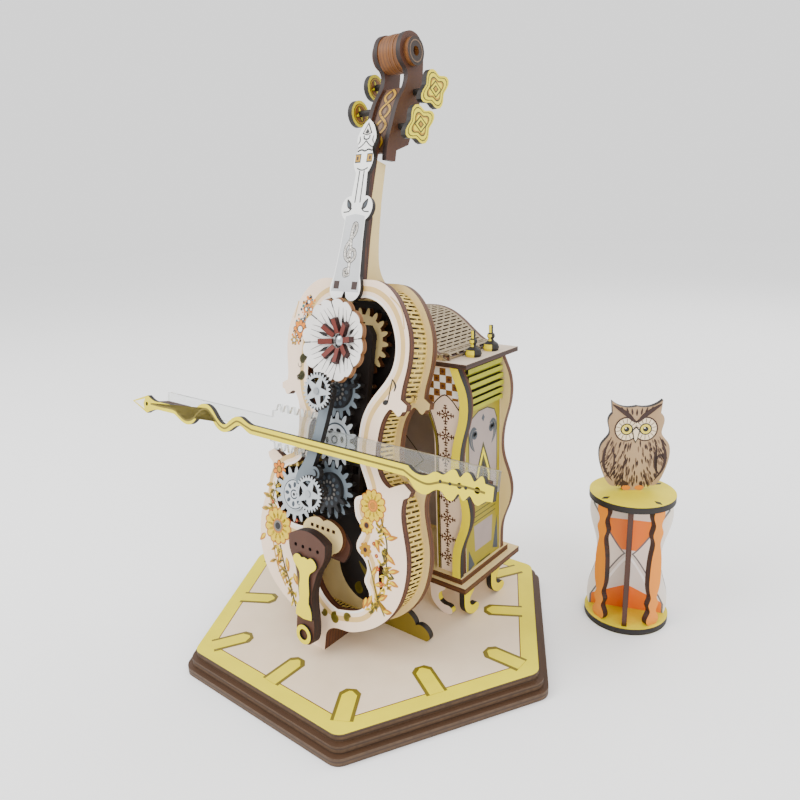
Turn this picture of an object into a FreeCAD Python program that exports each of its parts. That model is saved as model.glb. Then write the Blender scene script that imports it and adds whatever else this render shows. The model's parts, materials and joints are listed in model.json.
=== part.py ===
import FreeCAD, Part
import math
import os

# Wooden jigsaw music box in the shape of a cello with a gear train, a bow, a cabinet and an hourglass.
# Millimetres. Origin: centre of the hexagonal base's underside. +Z up, +X right along the cello's front,
# +Y towards the back, so the cello faces -Y.

V = FreeCAD.Vector

# --- driving dimensions ---
sheet = 3.5  # thick ply of the cello's two faces
ply = 3.0  # ordinary ply
baseRadius = 92.0  # hexagon, centre to corner, top layer
baseLayer = 3.6
baseStep = 2.5  # each lower layer of the base stands out this much further
baseTop = 3 * baseLayer
leanDeg = 12.0  # the cello leans back this much
celloY = -43.5  # where the cello's front face meets the base
ribDepth = 13.3
backFront = sheet + ribDepth  # depth of the back plate's front face
bodyDepth = backFront + sheet
ribInset = 3.0
ribWall = 1.6

gearModule = 1.5
gearThick = 3.0
gearFront = -0.5  # depth of the front face of the four big gears
shaftRadius = 1.5
runningGap = 0.06  # radial clearance of a shaft in its bore
upperTeeth = 15
middleTeeth = 15
lowerTeeth = 16
sideTeeth = 16
flowerTeeth = 18
pinionTeeth = 10
upperAt = (0.0, 121.8)
middleAt = (0.0, upperAt[1] - gearModule * (upperTeeth + middleTeeth) / 2)
lowerAt = (0.0, middleAt[1] - gearModule * (middleTeeth + lowerTeeth) / 2)
sideAt = (-22.8, lowerAt[1] - math.sqrt((gearModule * (lowerTeeth + sideTeeth) / 2) ** 2 - 22.8 ** 2))
flowerAt = (0.0, 144.0)
rearModule = 2 * (flowerAt[1] - upperAt[1]) / (flowerTeeth + pinionTeeth)
rearFront = 11.7  # depth of the flower gear and its pinion
mechFront = 6.0  # depth of the plate that carries the shafts

driverTip = 11.45  # tip radius of the half-toothed drivers
driverTeeth = 13  # as a full wheel
driverFront = -2.6
rackGap = 0.35  # rack tips to driver tips
rackFront = -2.6
rackThick = 1.8
stickFront = -11.4
stickThick = 2.5
bracketFront = -8.2
bracketThick = 2.8
fineFront = -15.0

cabinetFront = 16.0
cabinetBack = 51.0
cabinetHalf = 42.0
plinthZ = 16.8
roofZ = 128.0

glassX = 99.4
glassY = 82.1
glassRadius = 20.6
glassTurnDeg = 19.0
owlTurnDeg = 16.0  # the owl is turned this much further
postAt = 17.0
glassHeight = 68.7
discThick = 3.2


# --- helpers ---
def loop(start, *runs):
    # closed wire: a run of one point is a straight edge, a longer run is a smooth curve
    edges = []
    here = start
    for run in runs:
        points = [V(x, y, 0) for x, y in [here] + list(run)]
        if len(points) == 2:
            edges.append(Part.makeLine(points[0], points[1]))
        else:
            curve = Part.BSplineCurve()
            curve.interpolate(points)
            edges.append(curve.toShape())
        here = run[-1]
    if math.dist(here, start) > 1e-6:
        edges.append(Part.makeLine(V(*here, 0), V(*start, 0)))
    return Part.Wire(edges)


def mirroredLoop(start, *runs):
    # right half from start, on x = 0, to the last point, on x = 0; the left half is its mirror image
    spans = []
    here = start
    for run in runs:
        spans.append([here] + list(run))
        here = run[-1]
    back = [[(-x, y) for x, y in reversed(span)] for span in reversed(spans)]
    return loop(start, *[span[1:] for span in spans + back])


def polygon(points):
    return Part.makePolygon([V(x, y, 0) for x, y in list(points) + [points[0]]])


def circle(x, y, radius):
    return Part.Wire([Part.makeCircle(radius, V(x, y, 0))])


def slab(wire, low, high, holes=()):
    # plate between two heights of the wire's own frame
    solid = Part.Face(wire).extrude(V(0, 0, high - low))
    solid.translate(V(0, 0, low))
    for hole in holes:
        tool = Part.Face(hole).extrude(V(0, 0, high - low + 2))
        tool.translate(V(0, 0, low - 1))
        solid = solid.cut(tool)
    return solid


def sunk(wire, front, back, holes=()):
    # plate in the cello's frame, from depth front to depth back behind its front face
    return slab(wire, -back, -front, holes)


def rod(x, y, radius, front, back):
    return Part.makeCylinder(radius, back - front, V(x, y, -back))


def boxed(x0, x1, y0, y1, z0, z1):
    return Part.makeBox(x1 - x0, y1 - y0, z1 - z0, V(x0, y0, z0))


def group(solids):
    return Part.makeCompound(list(solids))


def fused(solids):
    solids = list(solids)
    return solids[0].fuse(solids[1:]).removeSplitter()


def mirrorX(shape):
    return shape.mirror(V(0, 0, 0), V(1, 0, 0))


celloPlace = FreeCAD.Placement(V(0, celloY, baseTop), FreeCAD.Rotation(V(1, 0, 0), 90 - leanDeg))
uprightTurn = FreeCAD.Rotation(V(1, 0, 0), 90)
sideTurn = FreeCAD.Rotation(V(0, 1, 0), V(0, 0, 1), V(1, 0, 0))


def moved(shape, at, turn=FreeCAD.Rotation()):
    shape = shape.copy()
    shape.Placement = FreeCAD.Placement(V(*at), turn).multiply(shape.Placement)
    return shape


def onCello(shape):
    return moved(shape, celloPlace.Base, celloPlace.Rotation)


def facing(shape, y):
    # a plate drawn in x and height, its low face at y, thickness towards the front
    return moved(shape, (0, y, baseTop), uprightTurn)


def sideways(shape, x):
    # a plate drawn in depth y and height, its low face at x, thickness towards +X
    return moved(shape, (x, 0, baseTop), sideTurn)


def aboutZ(degrees):
    return FreeCAD.Rotation(V(0, 0, 1), degrees)


def save(name, shape):
    solids = shape.Solids
    if not solids or any(not solid.isValid() for solid in solids):
        print("bad solid in", name)
    shape = solids[0] if len(solids) == 1 else Part.makeCompound(solids)
    shape.exportStep("parts/" + name + ".step")


# --- gears ---
def involute(angle):
    return math.tan(angle) - angle


def toothPoints(teeth, module, index, phase, addendum, dedendum, thin):
    pitch = module * teeth / 2
    base = pitch * math.cos(math.radians(20))
    root = pitch - dedendum * module
    tip = pitch + addendum * module
    halfAtPitch = thin * math.pi / (2 * teeth)
    flank = []
    steps = 4
    for step in range(steps + 1):
        radius = max(base, root) + (tip - max(base, root)) * step / steps
        half = halfAtPitch + involute(math.radians(20)) - involute(math.acos(min(1, base / radius)))
        flank.append((radius, half))
    flank.insert(0, (root, flank[0][1] + 0.012))
    centre = phase + 2 * math.pi * index / teeth
    rising = [(radius, centre - half) for radius, half in flank]
    falling = [(radius, centre + half) for radius, half in reversed(flank)]
    return rising + falling


def gearWire(at, teeth, module, phase=0.0, addendum=0.95, dedendum=1.2, thin=0.84):
    points = []
    for index in range(teeth):
        for radius, angle in toothPoints(teeth, module, index, phase, addendum, dedendum, thin):
            points.append((at[0] + radius * math.cos(angle), at[1] + radius * math.sin(angle)))
    return polygon(points)


def meshPhase(at, teeth, phase, otherAt, otherTeeth):
    # phase that puts the other gear's teeth in this gear's gaps
    direction = math.atan2(otherAt[1] - at[1], otherAt[0] - at[0])
    offset = (direction - phase) * teeth / (2 * math.pi)
    return direction + math.pi - (0.5 - offset) * 2 * math.pi / otherTeeth


def ringWindows(at, count, inner, outer, gapDeg, turnDeg=0.0):
    windows = []
    for index in range(count):
        start = math.radians(turnDeg + 360 * index / count + gapDeg)
        end = math.radians(turnDeg + 360 * (index + 1) / count - gapDeg)
        middle = (start + end) / 2
        ring = []
        for radius, angle in ((outer, start), (outer, middle), (outer, end), (inner, middle)):
            ring.append((at[0] + radius * math.cos(angle), at[1] + radius * math.sin(angle)))
        windows.append(loop(ring[0], [ring[1], ring[2]], [ring[3]], [ring[0]]))
    return windows


upperPhase = math.pi / 2
middlePhase = meshPhase(upperAt, upperTeeth, upperPhase, middleAt, middleTeeth)
lowerPhase = meshPhase(middleAt, middleTeeth, middlePhase, lowerAt, lowerTeeth)
sidePhase = meshPhase(lowerAt, lowerTeeth, lowerPhase, sideAt, sideTeeth)
pinionPhase = 0.3
flowerPhase = meshPhase(upperAt, pinionTeeth, pinionPhase, flowerAt, flowerTeeth)


# --- base ---
def hexagon(radius, corner):
    points = [(radius * math.cos(math.radians(60 * k)), radius * math.sin(math.radians(60 * k))) for k in range(6)]
    solid = Part.Face(polygon(points)).extrude(V(0, 0, baseLayer))
    upright = [e for e in solid.Edges if abs(e.Vertexes[0].Z - e.Vertexes[-1].Z) > 1]
    return solid.makeFillet(corner, upright)


def makeBase():
    for name, layer, corner in (("base_lower", 0, 7.0), ("base_middle", 1, 6.5), ("base_top", 2, 6.0)):
        solid = hexagon(baseRadius + (2 - layer) * baseStep, corner)
        solid.translate(V(0, 0, layer * baseLayer))
        if layer == 2:
            solid = solid.cut(onCello(sunk(footOutline(), 0, bodyDepth)))
        save(name, solid)


def aboveMiddle(shape):
    # trims a foot where it meets the base's middle layer
    return shape.cut(boxed(-60, 60, -80, 20, -20, 2 * baseLayer))


# --- cello body ---
def bodyOutline():
    upper = [(21, 169.6), (27, 165), (32, 158), (35.5, 150), (36.6, 142), (36, 134), (34.7, 127), (34.5, 122.5)]
    hook = [(36, 117.5), (33.5, 115.5), (31.5, 117), (29, 117.5)]
    waist = [(26, 113), (24.3, 106), (24, 98), (25.5, 91), (29, 86), (33, 84)]
    lower = [(40.5, 75), (42.8, 66), (45.3, 58), (46.3, 50), (45.8, 43), (44, 36), (40.5, 29.5), (34, 22.5)]
    tail = [(25, 16.8), (17, 13.8), (9, 12.6), (5.5, 10.5), (4, 7)]
    return mirroredLoop((0, 171.5), [(14, 171.5)], upper, [(38, 120.5)], [(37.8, 118)], [hook[0]], hook[1:],
                        waist, [(38, 86.5)], [(40.5, 87.5)], [(44.5, 85)], [(43.5, 82.5)], [(41, 81)],
                        lower + tail, [(4, footLow)], [(0, footLow)])


footLow = -9.0


def footOutline():
    return polygon([(-4, footLow - 1), (4, footLow - 1), (4, 12), (-4, 12)])


ribUpper = [(21, 169.6), (27, 165), (32, 158), (35.5, 150), (36.6, 142), (36, 134), (34.6, 126)]
ribWaist = [(32, 119.5), (27, 113), (24.3, 106), (24, 98), (25.5, 91), (30.5, 85.5), (36.5, 81.5)]
ribLower = [(41, 75), (42.8, 66), (45.3, 58), (46.3, 50), (45.8, 43), (44, 36), (40.5, 29.5), (34, 22.5),
            (25, 16.8), (17, 13.8), (9, 12.6)]


def ribLoop(inset):
    # the body's outline without its corners, moved inwards along its own normals
    points = [(13, 171.5)] + ribUpper + ribWaist + ribLower
    inner = []
    for index, (x, s) in enumerate(points):
        ax, ay = points[max(index - 1, 0)]
        bx, by = points[min(index + 1, len(points) - 1)]
        length = math.hypot(bx - ax, by - ay)
        inner.append((x + inset * (by - ay) / length, s - inset * (bx - ax) / length))
    top = 171.5 - inset
    low = 12.6 + inset
    return mirroredLoop((0, top), [(inner[0][0], top)], inner[1:-1] + [(inner[-1][0], low)], [(0, low)])


def frontOpening():
    topRight = [(15, 163), (22, 159), (27, 152), (29.3, 144), (28.5, 135), (23, 126), (18, 119.5), (14.5, 112),
                (13.4, 105), (13.6, 97), (15.5, 91), (19, 85), (21.5, 80)]
    flowerEdge = [(18, 77.5), (14.6, 75.5), (14.8, 70), (16, 67), (20, 62), (18, 57), (18, 53), (22, 50), (25, 45),
                  (24, 40), (27, 36), (25, 28), (18, 24), (10, 22)]
    lowLeft = [(2, 25), (-4, 31), (-7, 40), (-9, 50), (-15, 55)]
    sx, sy = sideAt
    window = []
    for degrees in (-90, -125, -160, 165, 130, 108):
        window.append((sx + 14.3 * math.cos(math.radians(degrees)), sy + 14.3 * math.sin(math.radians(degrees))))
    leftEdge = [(-21, 87), (-17.5, 96), (-17, 103), (-13.2, 108)]
    topLeft = [(-16, 113), (-19.5, 119), (-21.5, 130), (-21, 142), (-20, 152), (-15, 160), (-8, 163)]
    return loop((6, 163), topRight, flowerEdge, lowLeft, window, leftEdge, topLeft, [(6, 163)])


def makeBody():
    outline = bodyOutline()
    ringHole = loop((31.5, 51), [(34.4, 48), (35, 43), (33.6, 37)], [(31.9, 43), (31.5, 51)])
    front = sunk(outline, 0, sheet, [frontOpening(), ringHole])
    save("cello_front_plate", aboveMiddle(onCello(front)))
    bores = [circle(*flowerAt, shaftRadius + runningGap), circle(*upperAt, shaftRadius + runningGap)]
    save("cello_back_plate", aboveMiddle(onCello(sunk(outline, backFront, bodyDepth, bores))))

    band = sunk(ribLoop(ribInset), sheet, backFront).cut(sunk(ribLoop(ribInset + ribWall), 0, bodyDepth))
    spans = {"rib_upper": (119, 180), "rib_waist": (84.5, 119), "rib_lower": (0, 84.5)}
    for name, (low, high) in spans.items():
        save(name, onCello(band.common(boxed(-60, 60, low, high, -30, 5))))

    spacers = [sunk(polygon([(-4, footLow), (4, footLow), (4, 15), (-4, 15)]), sheet, backFront)]
    for x, y in ((-24, 33), (29.2, 32), (-17.4, 101), (16.4, 101), (-11, 164.9), (11, 164.9)):
        spacers.append(sunk(polygon([(x - 1.6, y - 1.7), (x + 1.6, y - 1.7), (x + 1.6, y + 1.7), (x - 1.6, y + 1.7)]),
                            sheet, backFront))
    save("body_spacers", group(aboveMiddle(onCello(spacer)) for spacer in spacers))


def makeMechanismPlate():
    sx, sy = sideAt
    strip = polygon([(-8, 152), (-11, 148), (-11, 92), (-14, 84), (sx, sy + 9), (sx - 8, sy + 4), (sx - 7, sy - 6),
                     (sx + 4, sy - 8), (-8, 66), (8, 66), (11, 70), (11, 148), (8, 152)])
    bores = [circle(*at, shaftRadius + runningGap) for at in (flowerAt, upperAt, middleAt, lowerAt, sideAt)]
    bores.append(polygon([(6.2, 84.2), (9.8, 84.2), (9.8, 87.8), (6.2, 87.8)]))
    plate = sunk(strip, mechFront, mechFront + ply, bores)
    posts = []
    for x, y in ((-8.6, 94), (-8.6, 148.5), (8.6, 80), (-27.5, 72)):
        posts.append(sunk(polygon([(x - 2, y - 2), (x + 2, y - 2), (x + 2, y + 2), (x - 2, y + 2)]),
                          mechFront + ply, backFront))
    save("mechanism_plate", onCello(fused([plate] + posts[:1] + posts[2:])))


# --- neck and head ---
neckTiltDeg = 5.2  # the neck leans back this much more than the body
neckFoot = 171.5  # top end of the body, where the neck turns back


def onNeck(shape):
    # the cello's frame, turned back about the top edge of the body's front
    turned = shape.copy()
    turned.rotate(V(0, neckFoot, 0), V(1, 0, 0), -neckTiltDeg)
    return onCello(turned)


def makeNeck():
    low = neckFoot + 0.4
    backing = polygon([(-7.5, low), (7.5, low), (6, 190), (5.6, 199), (3.3, 208), (3.3, 236), (-3.3, 236),
                       (-3.3, 208), (-5.6, 199), (-6, 190)])
    save("fingerboard_backing", onNeck(sunk(backing, 0, ply)))
    lobes = [(6.8, 162.3), (8.6, 164.5), (8.4, 170), (7.6, 172.5)]
    shoulder = [(8.3, 199.6), (9, 202.5), (7.5, 206), (4, 207.4)]
    head = [(4.9, 220.2), (5.2, 225), (4, 228), (5.3, 231.6), (4.6, 235.4), (2.6, 238.8)]
    face = mirroredLoop((0, 166.5), [(1.2, 163)], lobes, [(6.3, 188)], [(5.9, 197)], shoulder, [(3.3, 217.6)],
                        head, [(0, 241)])
    holes = [polygon([(x - 1.7, 166.4), (x + 1.7, 166.4), (x + 1.7, 170.1), (x - 1.7, 170.1)]) for x in (-5.3, 5.3)]
    save("fingerboard_face", onNeck(sunk(face, -2.2, 0, holes)))

    cheek = loop((168, -ply), [(168, -20.3)], [(174.2, -20.3)], [(176.4, -17.6), (180, -15), (186, -13), (196, -11.2),
                 (208, -9.8)], [(224.4, -9)], [(224.4, -ply)])
    body = boxed(-60, 60, 100, neckFoot, -40, 20)
    cheeks = []
    for x in (-3.3, 0.7):
        cheek3d = moved(slab(cheek, 0, 2.6), (x, 0, 0), sideTurn)
        cheek3d.rotate(V(0, neckFoot, 0), V(1, 0, 0), -neckTiltDeg)
        cheeks.append(onCello(cheek3d.cut(body)))
    save("neck_cheeks", group(cheeks))


scrollY = 32.0
scrollZ = 262.8
leftPegs = ((34.9, 251.1), (22.9, 239.0))
rightPegs = ((33.4, 246.4), (21.8, 231.4))


def makeHead():
    side = loop((11.4, 217.4), [(13.2, 225), (16.7, 232.4), (22.5, 243.3), (27.5, 249.5), (28.6, 254.6), (24.4, 259.4),
                (24, 265), (27.6, 270), (33, 271.2), (38.4, 268.8), (40.4, 262.5), (39.8, 254), (37.6, 244),
                (34, 236), (30.6, 229.4)], [(27.6, 224)], [(18.9, 221.4)], [(17.8, 216.8)])
    plate = slab(side, 0, 2.4)
    save("pegbox_sides", group([sideways(plate, 5.3), sideways(plate, -7.7)]))
    front = loop((13.4, 220.6), [(14.6, 224.4), (18.3, 232.6), (24, 243), (28.6, 248.4)], [(30.4, 247.2)],
                 [(25.8, 241.8), (20, 231.8), (16.6, 224)], [(15.6, 220.2)])
    save("pegbox_front", sideways(slab(front, 0, 10.6), -5.3))

    discs = []
    for low, high, radius in ((-5.3, -3.2, 7.9), (-3.2, -1.1, 8.1), (-1.1, 1.1, 8.2), (1.1, 3.2, 8.1), (3.2, 5.3, 7.9)):
        discs.append(Part.makeCylinder(radius, high - low, V(low, scrollY, baseTop + scrollZ), V(1, 0, 0)))
    for low, high in ((7.7, 10.2), (-10.2, -7.7)):
        cheek = Part.makeCylinder(5.9, high - low, V(low, scrollY, baseTop + scrollZ), V(1, 0, 0))
        eye = Part.makeCylinder(2.0, 8, V(low - 2, scrollY, baseTop + scrollZ), V(1, 0, 0))
        discs.append(cheek.cut(eye))
    save("scroll", group(discs))

    round = circle(0, 0, 5.8)
    ornate = []
    for k in range(32):
        angle = math.radians(11.25 * k)
        across = (9.6 + 1.9 * math.cos(4 * angle)) * math.cos(angle)
        tall = (6.9 + 1.4 * math.cos(4 * angle)) * math.sin(angle)
        turn = math.radians(24)
        ornate.append((across * math.cos(turn) - tall * math.sin(turn), across * math.sin(turn) + tall * math.cos(turn)))
    solids = []
    for wire, x, root, places in ((round, -18.6, -7.7, leftPegs), (polygon(ornate), 16.4, 7.7, rightPegs)):
        for y, z in places:
            head = moved(slab(wire, 0, 2.6), (x, y, baseTop + z), sideTurn)
            inner = x + (2.6 if x < 0 else 0)
            stem = Part.makeCylinder(1.4, abs(root - inner), V(min(root, inner), y, baseTop + z), V(1, 0, 0))
            solids.append(head.fuse(stem))
    save("tuning_pegs", group(solids))


# --- tailpiece, bridge, bracket, support ---
def makeFittings():
    def tilted(shape):
        return onCello(moved(shape, (0, 7, 5.2), FreeCAD.Rotation(V(1, 0, 0), 5.2)))

    outline = mirroredLoop((0, 52.4), [(5, 51.6), (11.4, 48.4)], [(11.4, 44)], [(9.4, 38.6), (7.2, 35), (5.4, 30),
                           (4, 24), (4.2, 18), (5.2, 12)], [(5.6, 4), (4, -0.6), (0, -2)])
    drops = [circle(x, 44.6, 0.9) for x in (-6.9, -2.3, 2.3, 6.9)]
    tailpiece = slab(outline, -0.4, 4.2, drops)
    save("tailpiece", tilted(tailpiece))
    ornament = mirroredLoop((0, 40.5), [(2.2, 40)], [(5.4, 40.8), (7.4, 38), (5.6, 35.4), (3.6, 33.6), (2.8, 30),
                            (3, 22)], [(3, 19)], [(5, 14), (5, 11.5)], [(0, 10.8)])
    disc = slab(circle(0, 3, 4.6), 4.2, 5.4, [circle(0, 3, 2.6)])
    save("tailpiece_ornament", tilted(group([slab(ornament, 4.2, 5.4), disc])))

    bridge = mirroredLoop((0, 61.6), [(3.5, 62.8), (6.5, 62.2), (10.6, 60), (12.6, 56.4), (11.8, 51.6), (8, 48.6)],
                          [(6, 46)], [(0, 46)])
    tabs = [polygon([(x - 0.9, 57.6), (x + 0.9, 57.6), (x + 0.9, 59.2), (x - 0.9, 59.2)])
            for x in (-6.8, -3.4, 0, 3.4, 6.8)]
    save("bridge_plate", onCello(sunk(bridge, -3.9, -1.4, tabs)))
    backing = mirroredLoop((0, 45), [(12, 45)], [(14.6, 49), (15, 54)], [(12, 57.8)], [(0, 58.6)])
    save("bridge_backing", onCello(sunk(backing, -1.4, 0)))

    spine = loop((-2.7, 122.6), [(-4.6, 112), (-6.2, 102), (-9.8, 91), (-14.2, 83)], [(-14.4, 76), (-10, 73.4),
                 (0, 72.5)], [(0, 79.5)], [(-4, 78.6), (-8.6, 79.6)], [(-4.8, 88), (-1.2, 101), (1.2, 112), (2.8, 121)],
                 [(0, 124.2), (-2.7, 122.6)])
    ear = sunk(circle(-4, 83.6, 3.2), bracketFront, bracketFront + bracketThick)
    bosses = [sunk(circle(*at, 2.9), bracketFront, bracketFront + bracketThick) for at in (upperAt, lowerAt)]
    arm = sunk(spine, bracketFront, bracketFront + bracketThick)
    button = rod(-4, 83.6, 1.9, bracketFront - 1.0, bracketFront)
    bracket = fused([arm, ear] + bosses)
    for x, y in (upperAt, lowerAt):
        bracket = bracket.cut(rod(x, y, shaftRadius + runningGap, bracketFront - 3, 0))
    save("gear_bracket", onCello(bracket.fuse(button)))

    strut = loop((-21.5, 0), [(8, 0)], [(7, 4), (2, 9), (-4, 14), (-9, 22), (-11.4, 30)], [(-17.0, 30)])
    strut = sideways(slab(strut, 0, ply), -ply / 2)
    strut = strut.cut(onCello(sunk(polygon([(-60, -20), (60, -20), (60, 180), (-60, 180)]), -20, bodyDepth)))
    leafy = mirroredLoop((0, 12), [(6, 12.5), (10, 8), (16, 11), (20, 7)], [(23, 12), (30, 11), (33, 6.5)],
                         [(38, 7), (41, 3.4), (39, 0)], [(0, 0)])
    leaves = facing(slab(leafy, 0, ply), -8)
    save("body_support", fused([strut, leaves]))


# --- cabinet ---
waveRight = [(42.6, 30), (43.4, 38), (46.8, 48), (48.5, 57), (46.8, 66), (43.6, 75), (43, 84), (44.4, 93),
             (46.9, 102), (47.8, 109.5), (46.6, 118), (44, 124)]
plinthTop = plinthZ + 2 * ply
trimWidth = 4.6


def waveOutline(shift=0.0):
    run = [(x - shift, z) for x, z in waveRight] + [(42.4 - shift, roofZ)]
    return mirroredLoop((0, plinthTop), [(42.6 - shift, plinthTop)], run, [(0, roofZ)])


def makeCabinet():
    lower = boxed(-47, 47, 10.5, 63, baseTop + plinthZ, baseTop + plinthZ + ply)
    upper = boxed(-43.5, 43.5, 12.8, 57, baseTop + plinthZ + ply, baseTop + plinthTop)
    save("cabinet_plinth", group([lower, upper]))

    arch = loop((-27, plinthTop - 1), [(-27, 88)], [(-22, 106), (-10, 117), (0, 119), (10, 117), (22, 106), (27, 88)],
                [(27, plinthTop - 1)])
    front = facing(slab(waveOutline(1.0), 0, ply, [arch]), cabinetFront + ply)
    save("cabinet_front", front)
    strips = slab(waveOutline(), 0, ply)
    inner = mirroredLoop((0, plinthTop - 1), [(42.6 - trimWidth, plinthTop - 1)],
                         [(x - trimWidth, z) for x, z in waveRight] + [(42.4 - trimWidth, roofZ + 1)],
                         [(0, roofZ + 1)])
    save("cabinet_trim", facing(strips.cut(slab(inner, -1, ply + 1)), cabinetFront))
    back = slab(waveOutline(), 0, ply, [circle(0, 104, shaftRadius + runningGap)])
    save("cabinet_back", facing(back, cabinetBack + ply))

    panel = boxed(cabinetHalf - ply, cabinetHalf, cabinetFront + ply, cabinetBack, baseTop + plinthTop,
                  baseTop + roofZ)
    bars = []
    for index in range(6):
        z = baseTop + 105.5 + 3.6 * index
        bars.append(boxed(cabinetHalf, cabinetHalf + 2.6 - 0.3 * abs(index - 2), cabinetFront + ply + 1,
                          cabinetBack - 1, z, z + 2.2))
    side = fused([panel] + bars)
    save("cabinet_side_right", side)
    save("cabinet_side_left", mirrorX(side))

    plate = boxed(-48, 48, 11.5, 57.5, baseTop + roofZ, baseTop + roofZ + 2.2)
    plate = plate.cut(boxed(-23, 23, 19, 51, baseTop + roofZ - 1, baseTop + roofZ + 4))
    for x in (-34, 34):
        plate = plate.cut(boxed(x - 3.5, x + 3.5, 14.6, 15.6, baseTop + roofZ + 1.2, baseTop + roofZ + 4))
    save("roof_plate", plate)

    top = roofZ + 2.2
    bell = [(7, 147.6), (12, 146.1), (20, 141.4), (26, 136.6), (31, 133.2), (36, 131.6)]
    outer = mirroredLoop((0, 148.2), bell, [(36, top)], [(0, top)])
    under = mirroredLoop((0, 146.4), [(6.6, 145.8), (11.2, 144.4), (18.8, 139.9), (24.8, 135.1), (29.4, 132.2)],
                         [(30, top - 1)], [(0, top - 1)])
    shell = slab(outer, 0, 36.6).cut(slab(under, -1, 40))
    save("barrel_roof", facing(shell, 52.8))
    shaftHole = circle(0, 136.2, 3.2)
    endWall = slab(outer, 0, 2.2)
    frontWall = facing(slab(outer, 0, 2.2, [shaftHole]), 16.2)
    save("barrel_ends", group([frontWall, facing(endWall, 55.0)]))

    pawn = Part.Wire([Part.makePolygon([V(0, 0, 0), V(3.4, 0, 0), V(3.9, 0, 1.3), V(3.3, 0, 3.2), V(1.5, 0, 4.6),
                                        V(1.2, 0, 5.4), V(1.9, 0, 6.6), V(1.7, 0, 7.8), V(1.0, 0, 8.4),
                                        V(1.0, 0, 12), V(0, 0, 12), V(0, 0, 0)])])
    pawn = Part.Face(pawn).revolve(V(0, 0, 0), V(0, 0, 1), 360)
    pawns = []
    for x in (-41, 41):
        for y in (28.5, 44):
            copy = pawn.copy()
            copy.translate(V(x, y, baseTop + top))
            pawns.append(copy)
    save("finials", group(pawns))

    scroll = loop((0, plinthZ), [(9, plinthZ)], [(8.4, 13), (5.4, 10.4), (5.2, 7), (8.4, 4.8), (12, 4.4), (13.2, 1.8),
                  (10.6, 0), (6, 0.9), (1.6, 4.6), (0.2, 9.4)], [(0, plinthZ)])
    foot = slab(scroll, 0, ply)
    feet = []
    for y in (13.5, 38.5):
        standing = foot.copy()
        standing.translate(V(y, 0, 0))
        feet.append(sideways(standing, 41.5))
    crossing = foot.copy()
    crossing.translate(V(24, 0, 0))
    feet.append(facing(crossing, 16.5))
    feet.append(facing(crossing, 57.5))
    floor = boxed(-60, 60, 0, 80, 0, baseTop)
    feet = [item.cut(floor) for item in feet]
    save("cabinet_feet", group(feet + [mirrorX(item) for item in feet]))


# --- music movement ---
cylinderFront = 44.0
cylinderLength = 15.0


def makeMovement():
    x, s = flowerAt
    rail = boxed(-(cabinetHalf - ply), cabinetHalf - ply, s - 10.5, s - 8.5, -62.5, -42)
    ends = []
    for front in (42.0, 61.0):
        end = sunk(polygon([(-9, s - 8.5), (9, s - 8.5), (9, s + 2), (5, s + 6), (-5, s + 6), (-9, s + 2)]),
                   front, front + 1.5, [circle(x, s, shaftRadius + runningGap)])
        ends.append(end)
    save("movement_frame", onCello(fused([rail] + ends)))
    teeth = [boxed(7.3, 15, s - 2.0, s - 1.2, -(45 + 0.8 * k) - 0.6, -(45 + 0.8 * k)) for k in range(16)]
    comb = fused([boxed(15, 19, s - 3.0, s - 0.8, -58.6, -44.4), boxed(15, 19, s - 8.5, s - 3.0, -57, -46)] + teeth)
    save("comb", onCello(comb))
    drum = rod(x, s, 6.0, cylinderFront, cylinderFront + cylinderLength)
    pins = []
    for row in range(12):
        for step in range(3):
            angle = math.radians(30 * row + 47 * step + 10)
            pin = Part.makeCylinder(0.25, 0.6, V(x + 5.9 * math.cos(angle), s + 5.9 * math.sin(angle),
                                                 -(46.0 + 4.4 * step + 0.8 * (row % 4))),
                                    V(math.cos(angle), math.sin(angle), 0))
            pins.append(pin)
    drum = fused([drum] + pins).cut(rod(x, s, shaftRadius, 40, 64))
    save("pin_cylinder", onCello(drum))

    key = Part.makeCylinder(shaftRadius, 16, V(0, cabinetBack - 4, baseTop + 104), V(0, 1, 0))
    wing = slab(mirroredLoop((0, 2.4), [(4, 4.6), (9, 6), (12.4, 0)], [(9, -6), (4, -4.6), (0, -2.4)]), 0, 2.0)
    wing = moved(wing, (0, cabinetBack + 12, baseTop + 104), uprightTurn)
    save("wind_key", fused([key, wing]))


# --- wheels ---
def bigGear(at, teeth, phase, front=gearFront):
    return sunk(gearWire(at, teeth, gearModule, phase), front, front + gearThick, [circle(*at, shaftRadius)])


def fineGear(at):
    wire = gearWire(at, 27, 16.6 / 29, 0.0, addendum=1.0, dedendum=1.3, thin=0.95)
    holes = ringWindows(at, 5, 2.9, 5.9, 9) + [circle(*at, shaftRadius)]
    return sunk(wire, fineFront, fineFront + 2.0, holes)


driverModule = 2 * driverTip / (driverTeeth + 2)


def driver(at, firstTooth):
    # dark disc with teeth on half of its rim only, which pushes the bow's rack one way
    rimRadius = driverModule * (driverTeeth / 2 - 1.25)
    points = []
    for index in range(driverTeeth // 2):
        tooth = toothPoints(driverTeeth, driverModule, index, firstTooth, 1.0, 1.25, 0.8)
        points.append(polygon([(at[0] + r * math.cos(a), at[1] + r * math.sin(a)) for r, a in
                               [(rimRadius - 1.5, tooth[0][1])] + tooth + [(rimRadius - 1.5, tooth[-1][1])]]))
    back = gearFront
    disc = sunk(circle(*at, rimRadius), driverFront, back)
    blank = fused([disc] + [sunk(wire, driverFront, back) for wire in points])
    return blank.cut(rod(*at, shaftRadius, driverFront - 1, back + 1))


def shaft(at, front, back):
    return rod(*at, shaftRadius, front, back)


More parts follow.
